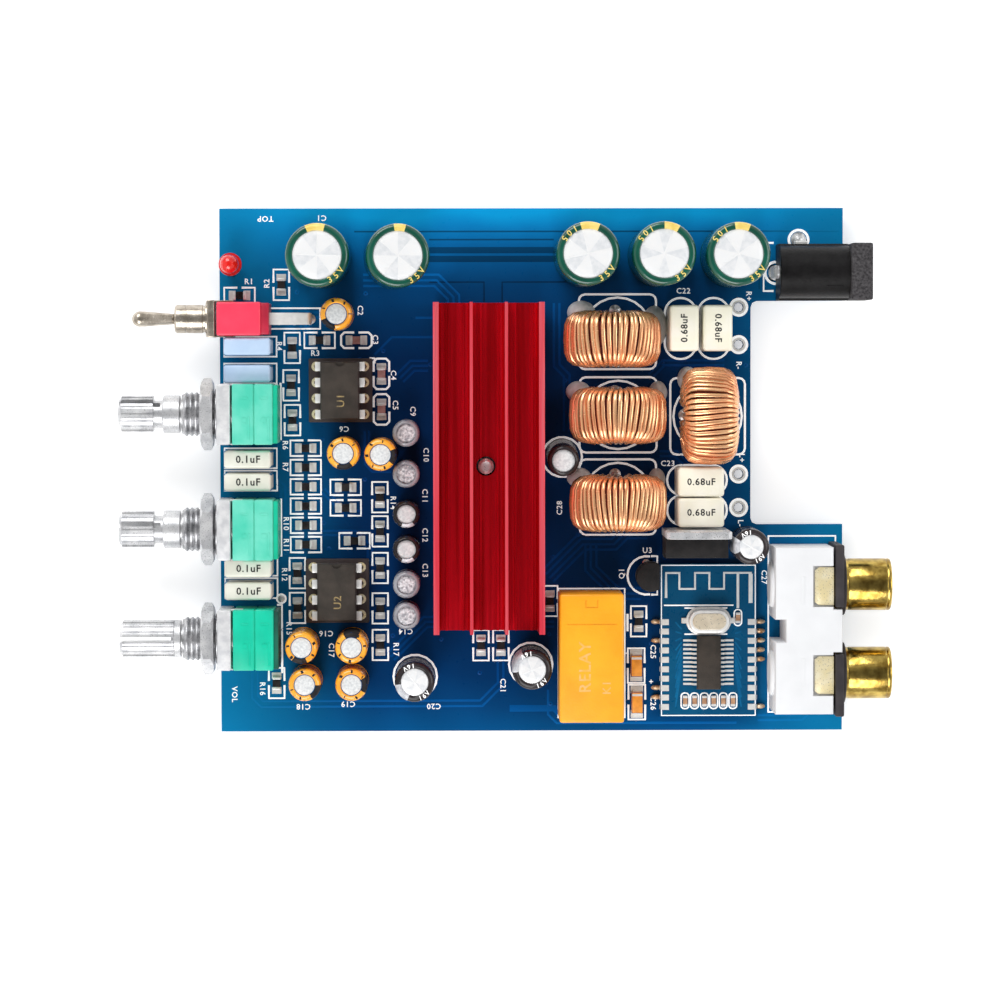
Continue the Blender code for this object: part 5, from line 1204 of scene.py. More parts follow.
def ball(half_sizes, segments, rings):
    """A sphere that is stretched to three half sizes."""
    bm = bmesh.new()
    bmesh.ops.create_uvsphere(bm, u_segments=segments, v_segments=rings, radius=1.0)
    bmesh.ops.scale(bm, vec=half_sizes, verts=bm.verts)
    return bm


domes = bmesh.new()
for x, y, *half_sizes in GLUE:
    dome = ball(half_sizes, 24, 14)
    bmesh.ops.scale(dome, vec=(1.0, 1.0, 0.02), verts=[v for v in dome.verts if v.co.z < 0])
    add(domes, dome, (x, y, 0.03))
keep(domes, "glue_domes", "glue")
print(len(GLUE), "domes")

# %% [markdown]
# ## Sockets with turned contacts
#
# The two op-amps sit in sockets whose contacts are turned from brass and plated: from above each
# is a bright ring with the leg of the chip in it. The frame of a socket is a block with a
# window cut out of it.

# %% Sockets
PIN_PITCH = 2.54
ROW_SPACING = 7.62
CONTACT = [(0.38, -1.0), (0.38, 0.0), (0.5, 0.09), (0.72, 0.09), (0.8, 0.0), (0.8, -0.3), (0.38, -1.0)]


def contacts_of(index):
    """The eight contact places of a socket."""
    centre = middle(f"opamp_socket_{index}")
    rows = [centre.y + (row - 1.5) * PIN_PITCH for row in range(4)]
    return [(centre.x + side * ROW_SPACING / 2, y, side) for side in (-1, 1) for y in rows]


rings = bmesh.new()
for index in (1, 2):
    low, high = limits(f"opamp_socket_{index}")
    window = standing((low.x + 2.6, low.y + 2.1, -1.0), (high.x - 2.6, high.y - 2.1, high.z + 1.0))
    add(rings, copies(lambda: lathe(CONTACT, 24), [(x, y, high.z) for x, y, _ in contacts_of(index)]))
    socket = carve(standing(low, high, 0.18, 2), window)
    keep(socket, f"socket_frame_{index}", "socket_plastic", f"opamp_socket_{index}")
keep(rings, "socket_contacts", "contact_metal")

# %% [markdown]
# ## Chips in the sockets
#
# A chip in a dual in-line case is moulded in two halves, so its sides slope away from the
# parting line in the middle. Its legs leave at that line, are wide at the shoulder and narrow
# where they enter the contacts. A half round notch marks the first leg.

# %% Dual in-line chips
CHIP_BODY = Vector((6.3, 9.3, 3.2))


def moulded_case(low, high, draft, edge=0.12):
    """A case whose four sides slope from a parting line halfway up."""
    low, high = Vector(low), Vector(high)
    size = high - low
    bm = block(size)
    everything = bm.verts[:] + bm.edges[:] + bm.faces[:]
    bmesh.ops.bisect_plane(bm, geom=everything, plane_co=(0, 0, 0), plane_no=(0, 0, 1))
    ends = [v for v in bm.verts if abs(v.co.z) > size.z / 4]
    bmesh.ops.scale(bm, vec=((size.x - 2 * draft) / size.x, (size.y - 2 * draft) / size.y, 1.0), verts=ends)
    round_edges(bm, bm.edges[:], edge, 2)
    return moved(bm, Matrix.Translation((low + high) / 2))


def strip(ends, y, half, low, high, edge=0.05, segments=1):
    """An upright piece of a leg between two places along X, half a width to both sides of y."""
    return standing((min(ends), y - half, low), (max(ends), y + half, high), edge, segments)


chip_print = bmesh.new()
for index in (1, 2):
    centre = middle(f"opamp_{index}")
    high = limits(f"opamp_{index}")[1].z
    opposite = Vector((*(centre + CHIP_BODY / 2).xy, high))
    corner = opposite - CHIP_BODY
    notch = rod(0.85, -0.35, 1.0, 24, (centre.x, opposite.y, high))
    case = carve(moulded_case(corner, opposite, 0.22), notch)
    add(case, rod(0.42, -0.05, 0.02, 20, (corner.x + 1.2, opposite.y - 1.5, high)))
    keep(case, f"chip_case_{index}", "chip_plastic", f"opamp_{index}")
    add(chip_print, lettering(f"U{index}", 1.7), (centre.x + 0.2, centre.y - 1.6, high - 0.02), (0, 0, 90))
    legs = bmesh.new()
    shoulder = corner.z + CHIP_BODY.z / 2
    top = limits(f"opamp_socket_{index}")[1].z
    for x, y, side in contacts_of(index):
        outer = x + side * 0.14
        across, drop = (centre.x + side * (CHIP_BODY.x / 2 - 0.1), outer), (outer - side * 0.28, outer)
        add(legs, strip(across, y, 0.72, shoulder - 0.14, shoulder + 0.14, 0.07, 2))
        add(legs, strip(drop, y, 0.72, shoulder - 1.2, shoulder + 0.12, 0.07, 2))
        add(legs, strip(drop, y, 0.26, top - 1.7, shoulder - 1.1))
    keep(legs, f"chip_legs_{index}", "tin", f"opamp_{index}")
keep(chip_print, "chip_print", "faded_print")
print("chips in sockets done")

# %% [markdown]
# ## Regulator
#
# The regulator is a power case: a thick black body on a metal tab that stands taller than the
# body and has a hole near its top. Its three legs are wide at the case and narrow below. It
# leans on nothing, so it stands on its legs alone.

# %% Regulator
low, high = limits("voltage_regulator")
centre_x, wide = (low.x + high.x) / 2, (high.x - low.x) / 2
tab_y = high.y - 1.25
case = moulded_case((low.x, low.y, 1.8), (high.x, tab_y + 0.05, 10.8), 0.12, 0.16)
for x in (centre_x - wide, centre_x + wide):
    case = carve(case, rod(0.9, 7.2, 9.0, 20, (x, low.y - 0.2, 0.0)))
keep(case, "regulator_case", "power_plastic", "voltage_regulator")

right_half = [(wide - inward, z) for inward, z in (
    (0.0, 2.2), (0.0, 13.2), (0.55, 13.2), (0.55, 14.6), (0.0, 14.6), (0.0, high.z - 0.5), (0.5, high.z),
)]
tab = stamped(right_half + [(-x, y) for x, y in right_half[::-1]], -1.2, 0.0, 0.1)
tab = carve(tab, rod(1.85, -2.0, 1.0, 32, (0.0, 14.0, 0.0)))
moved(tab, Matrix.Translation((centre_x, high.y - 1.2, 0.0)) @ spun(90, "X"))
for step in (-1, 0, 1):
    x = centre_x + step * PIN_PITCH
    add(tab, strip((x - 0.62, x + 0.62), tab_y - 1.7, 0.2, 1.2, 2.6, 0.06))
    add(tab, strip((x - 0.3, x + 0.3), tab_y - 1.7, 0.2, -1.0, 1.3))
keep(tab, "regulator_tab", "nickel", "voltage_regulator")

# %% [markdown]
# ## Transistor
#
# The transistor's case is a cylinder with one flat side. Its three legs fan out a little to
# their holes, which have bright rings.

# %% Transistor
low, high = limits("transistor")
centre = middle("transistor")
x = low.x + 2.35
opening = math.degrees(math.acos(1.35 / 2.35))
case = stamped(arc((x, centre.y), 2.35, opening, 360 - opening, 30), 2.0, high.z, 0.14, 2)
keep(case, "transistor_case", "power_plastic", "transistor")
legs = bmesh.new()
for y in (centre.y - 1.9, centre.y, centre.y + 1.9):
    add(legs, strip((x - 0.25, x + 0.25), y, 0.25, -1.0, 2.3))
keep(legs, "transistor_legs", "tin", "transistor")

# %% [markdown]
# ## Relay
#
# The relay is a glossy amber cover over a base. The cover has a small step and a moulded frame
# near one end, and a faint print, here only the kind of part.

# %% Relay
low, high = limits("relay")
relay = middle("relay")
groove = standing((low.x + 1.2, high.y - 4.9, high.z - 0.08), (high.x - 1.2, high.y - 4.72, high.z + 1.0))
for left, near, right_end, far in ((-1.0, 2.2, 1.0, 2.05), (-1.0, 2.05, -0.85, 1.0), (0.85, 2.05, 1.0, 1.0)):
    corner = (relay.x + left, high.y - near, high.z - 0.1)
    add(groove, standing(corner, (relay.x + right_end, high.y - far, high.z + 1.0)))
cover = carve(standing((low.x, low.y, low.z + 1.2), high, 0.4, 3), groove, overlaps=True)
keep(cover, "relay_cover", "relay_case", "relay")
base = standing((low.x + 0.25, low.y + 0.25, low.z), (high.x - 0.25, high.y - 0.25, low.z + 1.3), 0.1, 1)
keep(base, "relay_base", "relay_base", "relay")
relay_print = bmesh.new()
for text, size, x, y in (("RELAY", 2.6, -1.0, -1.4), ("K1", 1.8, 2.4, -4.6)):
    add(relay_print, lettering(text, size), (relay.x + x, relay.y + y, high.z - 0.02), (0, 0, 90))
keep(relay_print, "relay_print", "relay_ink")
print("regulator, transistor and relay done")

# %% [markdown]
# ## Wireless module
#
# The module is a small board of its own with plated half holes along both sides, by which it is
# soldered down. Its aerial is a bare copper line that folds back and forth. A crystal in a pressed
# can, a chip with many fine legs and a row of chip capacitors make up the rest. Its own lines
# follow the same helpers as the large board's.

# %% The module's board, aerial and printing
module_low, module_high = limits("wireless_board")
module = middle("wireless_board")
module_top = module_high.z
LINE_FOOT = module_top - 0.02
AERIAL = (
    (21.54, -20.56), (21.54, -16.54), (23.7, -16.54), (23.7, -19.11), (26.2, -19.11), (26.2, -16.54),
    (28.52, -16.54), (28.52, -19.11), (30.87, -19.11), (30.87, -16.54), (35.2, -16.54), (35.2, -21.4),
)
RULED = (((21.2, -21.75), (32.4, -21.75)), ((24.5, -22.2), (31.4, -22.2)), ((24.5, -26.4), (31.4, -26.4)))
CAPACITOR_ROW = (24.6, 26.12, 27.7, 29.2, 30.75, 32.3)

aerial = drawn([AERIAL, ((33.1, -16.54), (33.1, -22.2))], 0.42, LINE_FOOT, module_top + 0.07)
add(aerial, drawn([((35.15, -16.7), (35.15, -21.4))], 0.66, LINE_FOOT, module_top + 0.08))
keep(aerial, "module_aerial", "aerial_metal")

frames = [frame_path(module.x, module.y, 15.1, 24.2), frame_path(33.1, -23.75, 1.2, 2.6, 0.55)]
frames += [frame_path(x, -37.15, 1.25, 2.5, 0.5) for x in CAPACITOR_ROW]
ink = drawn(frames, 0.22, LINE_FOOT, module_top + 0.06, closed=True)
add(ink, drawn(RULED, 0.22, LINE_FOOT, module_top + 0.06))
keep(ink, "module_printing", "white_ink")

PAD_PITCH = 1.52
LEG_PITCH = 0.7
half = (module_high.x - module_low.x) / 2
ROWS = [-24.45 - PAD_PITCH * row for row in range(10)]
SOLDERED = {-1: (0, 2, 7, 8), 1: (0, 1, 2, 3, 4, 9)}  # by side
module_pads, module_solder, fan = bmesh.new(), bmesh.new(), []
for side, soldered in SOLDERED.items():
    for row, y in enumerate(ROWS):
        edge = module.x + side * half
        add(module_pads, block((1.3, 0.95, 0.08), 0.03, 1), (edge - side * 0.75, y, module_top + 0.02))
        wall = block((0.1, 0.8, module_top - module_low.z), 0.02, 1)
        add(module_pads, wall, (edge + side * 0.01, y, (module_top + module_low.z) / 2))
        if row in soldered:
            add(module_solder, ball((0.85, 0.42, 0.62), 16, 10), (edge + side * 0.62, y, 0.3))
        fan.append(((module.x + side * 4.3, -25.6 - LEG_PITCH * row), (module.x + side * 5.3, y)))
keep(module_pads, "module_pads", "tin")
keep(drawn(fan, 0.24, LINE_FOOT, module_top + 0.03), "module_tracks", "module_track")
keep(module_solder, "module_solder", "flux_solder")

# %% The module's chip, crystal and small capacitors
low, high = limits("wireless_chip")
chip_centre = middle("wireless_chip")
case = moulded_case(low, high, 0.14, 0.08)
add(case, rod(0.26, -0.04, 0.02, 16, (high.x - 0.7, high.y - 0.8, high.z)))
keep(case, "module_chip_case", "chip_plastic", "wireless_chip")
WING = (
    (1.8, 2.2), (2.45, 2.2), (2.85, 1.52), (4.05, 1.45), (4.05, 1.33), (2.75, 1.36), (2.35, 2.05),
    (1.8, 2.05),
)
wings = bmesh.new()
for side, outline in ((-1, [(-x, z) for x, z in WING[::-1]]), (1, WING)):
    for row in range(-5, 6):
        spot = (chip_centre.x, chip_centre.y + row * LEG_PITCH, 0.0)
        add(wings, stamped(outline, -0.17, 0.17), spot, (90, 0, 0))
keep(wings, "module_chip_legs", "tin")

low, high = limits("wireless_crystal")
crystal = bmesh.new()
for smaller, foot, top, edge, segments, material in (
    (0.0, low.z, low.z + 0.38, 0.1, 2, 0), (0.7, low.z + 0.3, high.z - 0.1, 0.3, 3, 0),
    (1.9, high.z - 0.3, high.z, 0.08, 1, 1),
):
    length, width = high.x - low.x - smaller, high.y - low.y - smaller
    reach = (length - width) / 2
    outline = arc((reach, 0.0), width / 2, -90, 90, 10) + arc((-reach, 0.0), width / 2, 90, 270, 10)
    add(crystal, stamped(outline, foot, top, edge, segments), material=material)
for x in (-3.85, 3.85):
    add(crystal, block((1.0, 0.9, 0.25), 0.08, 1), (x, 0.0, low.z - 0.1))
moved(crystal, Matrix.Translation((*middle("wireless_crystal").xy, 0.0)))
keep(crystal, "crystal_can", "tin crystal_metal", "wireless_crystal")

spots = [(x, -37.15) for x in CAPACITOR_ROW] + [(33.1, -23.75)]
bodies = copies(lambda: block((0.72, 1.0, 0.5), 0.05, 1), [(x, y, module_top + 0.27) for x, y in spots])
keep(bodies, "module_capacitor_bodies", "chip_tan")
ends = [(x, y + across, module_top + 0.28) for x, y in spots for across in (-0.66, 0.66)]
keep(copies(lambda: block((0.78, 0.42, 0.56), 0.08, 1), ends), "module_capacitor_ends", "tin")
print("module done")

# %% [markdown]
# ## Potentiometers
#
# Each tone and volume control has a green phenolic body in two gangs, a plated front plate with
# a threaded bushing, a thin nut, and a splined shaft that is slit so that a knob can spring
# onto it. All of them are turned or stamped about Z and then laid along the board's left
# edge. The shafts ride on bodies of their own, since they turn.

# %% Shapes laid along the left edge
LEFT_EDGE = -BOARD_LENGTH / 2
POT_AXIS = 6.5


def laid(bm, x, y, height, tilt=0.0):
    """Lays a shape that was made about Z so that it points off the left edge."""
    return moved(bm, Matrix.Translation((x, y, height)) @ spun(tilt - 90.0, "Y"))


def star(outer, inner, teeth):
    """The outline of a splined shaft, with flat tips and flat roots."""
    corners = ((0.0, inner), (0.28, inner), (0.42, outer), (0.86, outer))
    step = math.tau / teeth
    turns = [(step * (tooth + share), radius) for tooth in range(teeth) for share, radius in corners]
    return [(radius * math.cos(angle), radius * math.sin(angle)) for angle, radius in turns]


def nut(flats, thickness, hole, chamfer):
    """A hexagonal nut whose corners are turned off on both sides; laid, it has a flat on top."""
    corner = flats / 2 / math.cos(math.radians(30))
    inside, outside = corner - 1.8 * chamfer, corner + 1.0
    slope = chamfer * (outside - inside) / (corner - inside)
    above = thickness + 1.0
    lower = [(inside, -0.001), (outside, slope), (outside, -1.0), (inside, -1.0)]
    upper = [(inside, above), (outside, above), (outside, thickness - slope), (inside, thickness + 0.001)]
    cutter = lathe(lower + lower[:1], 48)
    add(cutter, lathe(upper + upper[:1], 48))
    add(cutter, rod(hole, -1.0, above))
    return carve(stamped(arc((0.0, 0.0), corner, 30, 330, 5), 0.0, thickness), cutter)


# %% [markdown]
# ## Splined shafts
#
# The spline is a stamped star with eighteen teeth, and the slit goes through it at the angle
# that each shaft was left at. Only the treble and bass shafts have a narrow neck behind it.

# %% Shafts, nuts and bushings
POTS = (  # name, plain length, neck length, turn of the slit
    ("treble", 2.7, 1.5, 44.0), ("bass", 2.7, 1.5, 20.0), ("volume", 1.1, 0.0, 0.0),
)
BUSHING = 5.6
SHAFT_REACH = 15.6
BRACKET_DEPTH = 2.2
SHAFT_RADIUS, SPLINE_ROOT, TEETH = 3.0, 2.68, 18
SHAFT_END = [(0.0, 0.0), (2.3, 0.0), (2.72, -0.46), (2.6, -0.6), (0.0, -0.6)]

for name, plain, neck, slit in POTS:
    y = middle(f"{name}_pot_nut").y
    low = BUSHING + 0.3
    high = low + plain
    spline_low = high + neck
    waist = 2.2 if neck else 2.6
    stem = lathe([
        (0.0, spline_low + 0.2), (waist, spline_low + 0.2), (waist, high), (2.85, high), (3.0, high - 0.15),
        (3.0, low + 0.1), (2.9, low), (2.25, low), (2.25, -3.2), (0.0, -3.2),
    ], 40)
    end = lathe(SHAFT_END, 36, (0.0, 0.0, SHAFT_REACH))
    shaft = bmesh.new()
    spline = stamped(star(SHAFT_RADIUS, SPLINE_ROOT, TEETH), spline_low, SHAFT_REACH - 0.45)
    for piece in (spline, stem, end):
        cutter = standing((-0.45, -5.0, high + 0.4), (0.45, 5.0, SHAFT_REACH + 1.0))
        add(shaft, carve(piece, moved(cutter, spun(90 + slit, "Z"))))
    laid(shaft, LEFT_EDGE, y, POT_AXIS)
    body = f"{name}_knob_shaft"
    keep(shaft, f"{name}_splined_shaft", "nickel", f"{name}_pot_shaft", body, smooth=28.0)

    turned = laid(nut(10.0, 2.0, 3.55, 0.45), LEFT_EDGE - 0.6, y, POT_AXIS)
    keep(turned, f"{name}_hex_nut", "nickel", f"{name}_pot_nut", smooth=28.0)

    mouth = [(2.57, BUSHING - 0.3), (2.75, BUSHING), (3.1, BUSHING)]
    root = [(3.3, 0.3), (4.0, 0.3), (4.2, 0.15), (4.2, -0.2), (2.57, -0.2), mouth[0]]
    bushing = lathe(mouth + thread(3.48, 0.5, BUSHING - 0.25, 0.75, 0.32)[::-1] + root, 40)
    low, high = limits(f"{name}_pot_bracket")
    plate = standing((LEFT_EDGE, low.y, low.z), (LEFT_EDGE + BRACKET_DEPTH, high.y, high.z), 0.28, 3)
    plate = carve(plate, laid(rod(2.57, -4.0, 1.0), LEFT_EDGE, y, POT_AXIS))
    for side in (-1, 1):
        across = side * ((high.y - low.y) / 2 - 0.12)
        lug_at = (LEFT_EDGE + BRACKET_DEPTH + 0.9, y + across, high.z - 2.8)
        add(plate, block((2.0, 0.3, 2.4), 0.1, 1), lug_at)
    add(plate, laid(bushing, LEFT_EDGE, y, POT_AXIS), material=1)
    keep(plate, f"{name}_front_plate", "cast_nickel thread_metal", f"{name}_pot_bracket", smooth=28.0)
print("nut", pieces_made["treble_hex_nut"], "shaft", pieces_made["treble_splined_shaft"], "faces")

# %% [markdown]
# ## Gangs
#
# The body is two wafers with a seam between them, closed by a thin back plate. Small raised
# pads and a shallow slot on the top come from the mould.

# %% Green bodies
for name, *_ in POTS:
    housing = f"{name}_pot_housing"
    low, high = limits(housing)
    y = (low.y + high.y) / 2
    seam, back = low.x + 3.45, high.x - 0.75
    body = standing(low, (seam - 0.06, high.y, high.z), 0.22, 2)
    add(body, standing((seam + 0.06, low.y, low.z), (back - 0.05, high.y, high.z - 0.02), 0.22, 2))
    add(body, standing((low.x + 1.0, low.y + 0.15, low.z + 0.2), (back, high.y - 0.15, high.z - 0.25)))
    for x in (low.x + 1.9, seam + 1.55):
        add(body, rod(0.4, -0.1, 0.09, 16, (x, y - 0.9, high.z)))
        add(body, block((1.3, 0.32, 0.16), 0.05, 1, (x, y + 2.6, high.z)))
        add(body, block((0.32, 3.6, 0.14), 0.05, 1, (x + 0.75, y - 2.2, high.z)))
    rear = standing((back, low.y + 0.2, low.z + 0.2), (high.x, high.y - 0.2, high.z - 0.25), 0.12, 1)
    keep(body, f"{name}_gangs", "pot_green" if name == "volume" else "pot_pale", housing)
    keep(rear, f"{name}_rear_plate", "pot_rear_black" if name == "volume" else "pot_rear", housing)
print("potentiometers done")

# %% [markdown]
# ## Power switch
#
# The switch lies on its side. Its lever swings on a ball in the mouth of the bushing, and it
# is drawn at the same angle as in the frame. Its three flat terminals leave the back at three
# heights and turn down to the board one behind the other.

# %% Switch body, terminals and bushing
TOGGLE_Y = middle("toggle_bushing").y
TOGGLE_AXIS = 4.6
SWITCH_BACK = LEFT_EDGE + 8.3
MOUTH = 6.8


def shell_block(left, right, half, low, high, edge, segments):
    """A block of the switch, half a width to both sides of its middle."""
    return standing((left, TOGGLE_Y - half, low), (right, TOGGLE_Y + half, high), edge, segments)


case = shell_block(LEFT_EDGE, SWITCH_BACK - 1.3, 2.65, 0.3, 8.9, 0.3, 3)
keep(case, "switch_case", "switch_red", "toggle_body")
cap = shell_block(SWITCH_BACK - 1.35, SWITCH_BACK, 2.5, 0.6, 8.6, 0.2, 2)
keep(cap, "switch_cap", "switch_red_dark", "toggle_body")

terminals = bmesh.new()
for row in range(3):
    height = TOGGLE_AXIS + (row - 1) * 2.3
    x = SWITCH_BACK + 1.2 + row * 2.54
    corner = (x - 0.45, height - 0.45)
    bend = [(SWITCH_BACK - 0.3, height - 0.2), *arc(corner, 0.25, 90, 0, 4), (x - 0.2, -1.0), (x + 0.2, -1.0)]
    bend += [*arc(corner, 0.65, 0, 90, 6), (SWITCH_BACK - 0.3, height + 0.2)]
    add(terminals, stamped(bend, -0.95, 0.95, 0.06), (0.0, TOGGLE_Y, 0.0), (90, 0, 0))
keep(terminals, "switch_terminals", "tin", "toggle_body")

bushing = shell_block(LEFT_EDGE - 1.5, LEFT_EDGE - 0.3, 2.95, 0.3, 8.9, 0.2, 2)
barrel = lathe([
    (1.65, MOUTH - 0.5), (1.75, MOUTH), (2.0, MOUTH), (2.28, MOUTH - 0.28), (2.28, MOUTH - 1.7),
    (2.21, MOUTH - 1.76), (2.21, MOUTH - 1.95), (2.28, MOUTH - 2.01), (2.28, 2.4), (2.15, 2.3), (2.15, 1.9),
    (2.9, 1.85), (2.95, 1.45), (1.65, 1.4), (1.65, MOUTH - 0.5),
], 48)
add(bushing, laid(barrel, LEFT_EDGE, TOGGLE_Y, TOGGLE_AXIS))
for across in (-2.78, 2.78):
    add(bushing, block((3.2, 0.25, 7.0), 0.08, 1, (LEFT_EDGE + 1.0, TOGGLE_Y + across, 4.6)))
keep(bushing, "switch_bushing", "warm_nickel", "toggle_bushing", smooth=28.0)

TIP_AT = 8.4 - 1.25
profile = arc((0.0, TIP_AT), 1.25, 90, 0, 9) + [(1.22, TIP_AT - 0.8), (1.04, 4.2), (0.84, 1.7), (0.8, 1.2)]
profile += arc((0.0, 0.0), 1.35, 40, -50, 9) + [(0.66, -1.2), (0.66, -3.0), (0.0, -3.0)]
lever = laid(lathe(profile, 36), LEFT_EDGE - MOUTH + 1.5, TOGGLE_Y, TOGGLE_AXIS, 12.5)
keep(lever, "switch_bat_lever", "warm_nickel", "toggle_lever", "switch_lever", smooth=50.0)
print("switch done")

# %% [markdown]
# ## Power light
#
# A light-emitting diode is a dome of clear red epoxy on a rim, with a small cup inside that
# shows as a darker core. It stands on two leads.

# %% LED
led = middle("power_led")
STAND = 2.4
dome = arc((0.0, limits("power_led")[1].z - STAND - 1.5), 1.5, 90, 0, 10)
brim = [(1.5, 1.0), (1.8, 0.95), (1.85, 0.85), (1.85, 0.1), (1.75, 0.0), (0.0, 0.0)]
lens = lathe(dome + brim, 40, (led.x, led.y, STAND))
keep(lens, "led_lens", "red_lens", "power_led", smooth=40.0)
legs = bmesh.new()
for y in (led.y - 1.27, led.y + 1.27):
    add(legs, strip((led.x - 0.25, led.x + 0.25), y, 0.25, -1.0, STAND + 0.1))
keep(legs, "led_legs", "tin", "power_led")
print("light done")

# %% [markdown]
# ## Power jack
#
# The jack is one black moulding: a square flange with a deep bore, and a body with straight
# sides and a round crown. A pin runs down the middle of the bore and ends in a blade behind,
# and a spring blade lies along the floor of the bore. Its section is stamped and then laid along
# X, so that the crown is a true arc.

# %% Power jack
LAID_RIGHT = Matrix(((0, 0, 1, 0), (1, 0, 0, 0), (0, 1, 0, 0), (0, 0, 0, 1)))  # X, Y, Z to Y, Z, X
jack_low, jack_high = limits("dc_jack_housing")
JACK_BACK, JACK_FRONT = jack_low.x, jack_high.x
JACK_Y = middle("dc_jack_pin").y
JACK_AXIS = 6.3
JACK_HALF = 4.5
FLANGE = 3.4
BORE = [(0.0, 3.0), (3.9, 3.0), (3.2, -0.25), (3.15, -0.6), (3.15, -10.0), (0.0, -10.0)]


def laid_right(bm, x, y, height):
    """Lays a shape that was made about Z along X, with its outline's X across the board."""
    return moved(bm, Matrix.Translation((x, y, height)) @ LAID_RIGHT)


def jack_block(left, right, half, low, high, edge, segments):
    """A block of the jack, half a width to both sides of its middle."""
    return standing((left, JACK_Y - half, low), (right, JACK_Y + half, high), edge, segments)


section = [
    (-JACK_HALF, 0.3), (JACK_HALF, 0.3), (JACK_HALF, 5.3), (JACK_HALF - 0.3, 5.6), (JACK_HALF - 0.42, 6.9),
    *arc((0.0, JACK_AXIS), JACK_HALF - 0.35, 12, 168, 24), (0.42 - JACK_HALF, 6.9), (0.3 - JACK_HALF, 5.6),
    (-JACK_HALF, 5.3),
]
body = laid_right(stamped(section, JACK_BACK, JACK_FRONT - FLANGE + 0.1, 0.12), 0.0, JACK_Y, 0.0)
for x in (JACK_BACK + 2.2, JACK_BACK + 6.6):
    add(body, jack_block(x, x + 0.9, JACK_HALF + 0.02, 0.3, 5.0, 0.08, 1))
add(body, block((2.6, 0.5, 0.1), 0.04, 1), (JACK_BACK + 8.6, JACK_Y - 2.2, JACK_AXIS + 3.5), (-28, 0, 0))
flange = jack_block(JACK_FRONT - FLANGE, JACK_FRONT, JACK_HALF, 0.3, jack_high.z, 0.32, 3)
body, flange = (
    carve(solid, laid_right(lathe(BORE, 40), JACK_FRONT, JACK_Y, JACK_AXIS)) for solid in (body, flange)
)
add(body, flange, material=1)
keep(body, "jack_moulding", "jack_plastic eroded_plastic", "dc_jack_housing", smooth=32.0)

pin_end = JACK_BACK - JACK_FRONT - 0.35
pin = lathe([
    (0.0, -0.8), (0.45, -0.85), (0.85, -1.15), (1.02, -1.7), (1.05, -2.4), (1.05, pin_end), (0.0, pin_end),
], 28)
laid_right(pin, JACK_FRONT, JACK_Y, JACK_AXIS)
blade_at = limits("dc_jack_pin")[0].x
add(pin, jack_block(blade_at, blade_at + 0.5, 1.0, -1.0, JACK_AXIS + 1.1, 0.1, 1))
add(pin, block((6.6, 1.6, 0.3), 0.08, 1, (JACK_FRONT - 5.7, JACK_Y, JACK_AXIS - 2.75)))
keep(pin, "jack_pin_and_spring", "nickel", "dc_jack_pin", smooth=32.0)
side_blade = block((2.0, 0.6, 3.8), 0.08, 1, (JACK_BACK + 3.9, JACK_Y + JACK_HALF + 0.2, 0.9))
keep(side_blade, "jack_side_blade", "tin", "dc_jack_housing")
print("jack done")

# %% [markdown]
# ## Phono sockets
#
# Both sockets share one white moulding. Seen from above it is one outline, with a recess at the
# back and a bridge between the two front plates. Each gold shell has a rolled lip and a tongue
# that is pressed into a slot in the top of the moulding. A white sleeve fills the shell, and
# a split gold contact sits in the middle.

# %% White moulding
low, high = limits("rca_housing")
RCA_Y = (low.y + high.y) / 2
RCA_FRONT = 47.4
RCA_BACK = RCA_FRONT - 9.2
RCA_AXIS = 6.8
RCA_HALF_PITCH = 7.05
SOCKETS = {"lower": RCA_Y - RCA_HALF_PITCH, "upper": RCA_Y + RCA_HALF_PITCH}
half_long = (high.y - low.y) / 2
PLAN = (
    (RCA_BACK, -half_long), (RCA_FRONT, -half_long), (RCA_FRONT, -3.4), (RCA_FRONT + 1.4, -3.4),
    (RCA_FRONT + 1.4, 3.4), (RCA_FRONT, 3.4), (RCA_FRONT, half_long), (RCA_BACK, half_long), (RCA_BACK, 1.8),
    (RCA_BACK + 1.7, 1.8), (RCA_BACK + 1.7, -1.8), (RCA_BACK, -1.8),
)
PLUG_SEAT = [(0.0, -0.6), (3.3, -0.6), (3.6, -0.35), (3.6, 0.2), (0.0, 0.2)]
WHITE_SLEEVE = [
    (2.3, 0.9), (2.3, 8.3), (2.6, 8.6), (3.05, 8.6), (3.25, 8.35), (3.25, -0.75), (0.0, -0.75), (0.0, 0.6),
    (2.3, 0.6), (2.3, 0.9),
]
housing = moved(stamped(PLAN, low.z, high.z, 0.3, 2), Matrix.Translation((0.0, RCA_Y, 0.0)))
for y in SOCKETS.values():
    housing = carve(housing, standing((RCA_FRONT - 3.25, y - 3.25, 11.2), (RCA_FRONT + 3.0, y + 3.25, 20.0)))
    housing = carve(housing, laid_right(rod(4.4, -0.7, 5.0, 48), RCA_FRONT, y, RCA_AXIS))
for y, across in zip(SOCKETS.values(), (0.6, -0.6)):
    add(housing, laid_right(lathe(PLUG_SEAT, 48), RCA_BACK, y, RCA_AXIS))
    add(housing, laid_right(lathe(WHITE_SLEEVE, 48), RCA_FRONT, y, RCA_AXIS))
    add(housing, block((0.5, 4.4, 0.12), 0.05, 1, (RCA_BACK + 4.4, y + across, high.z)))
keep(housing, "phono_moulding", "white_plastic", "rca_housing", smooth=32.0)

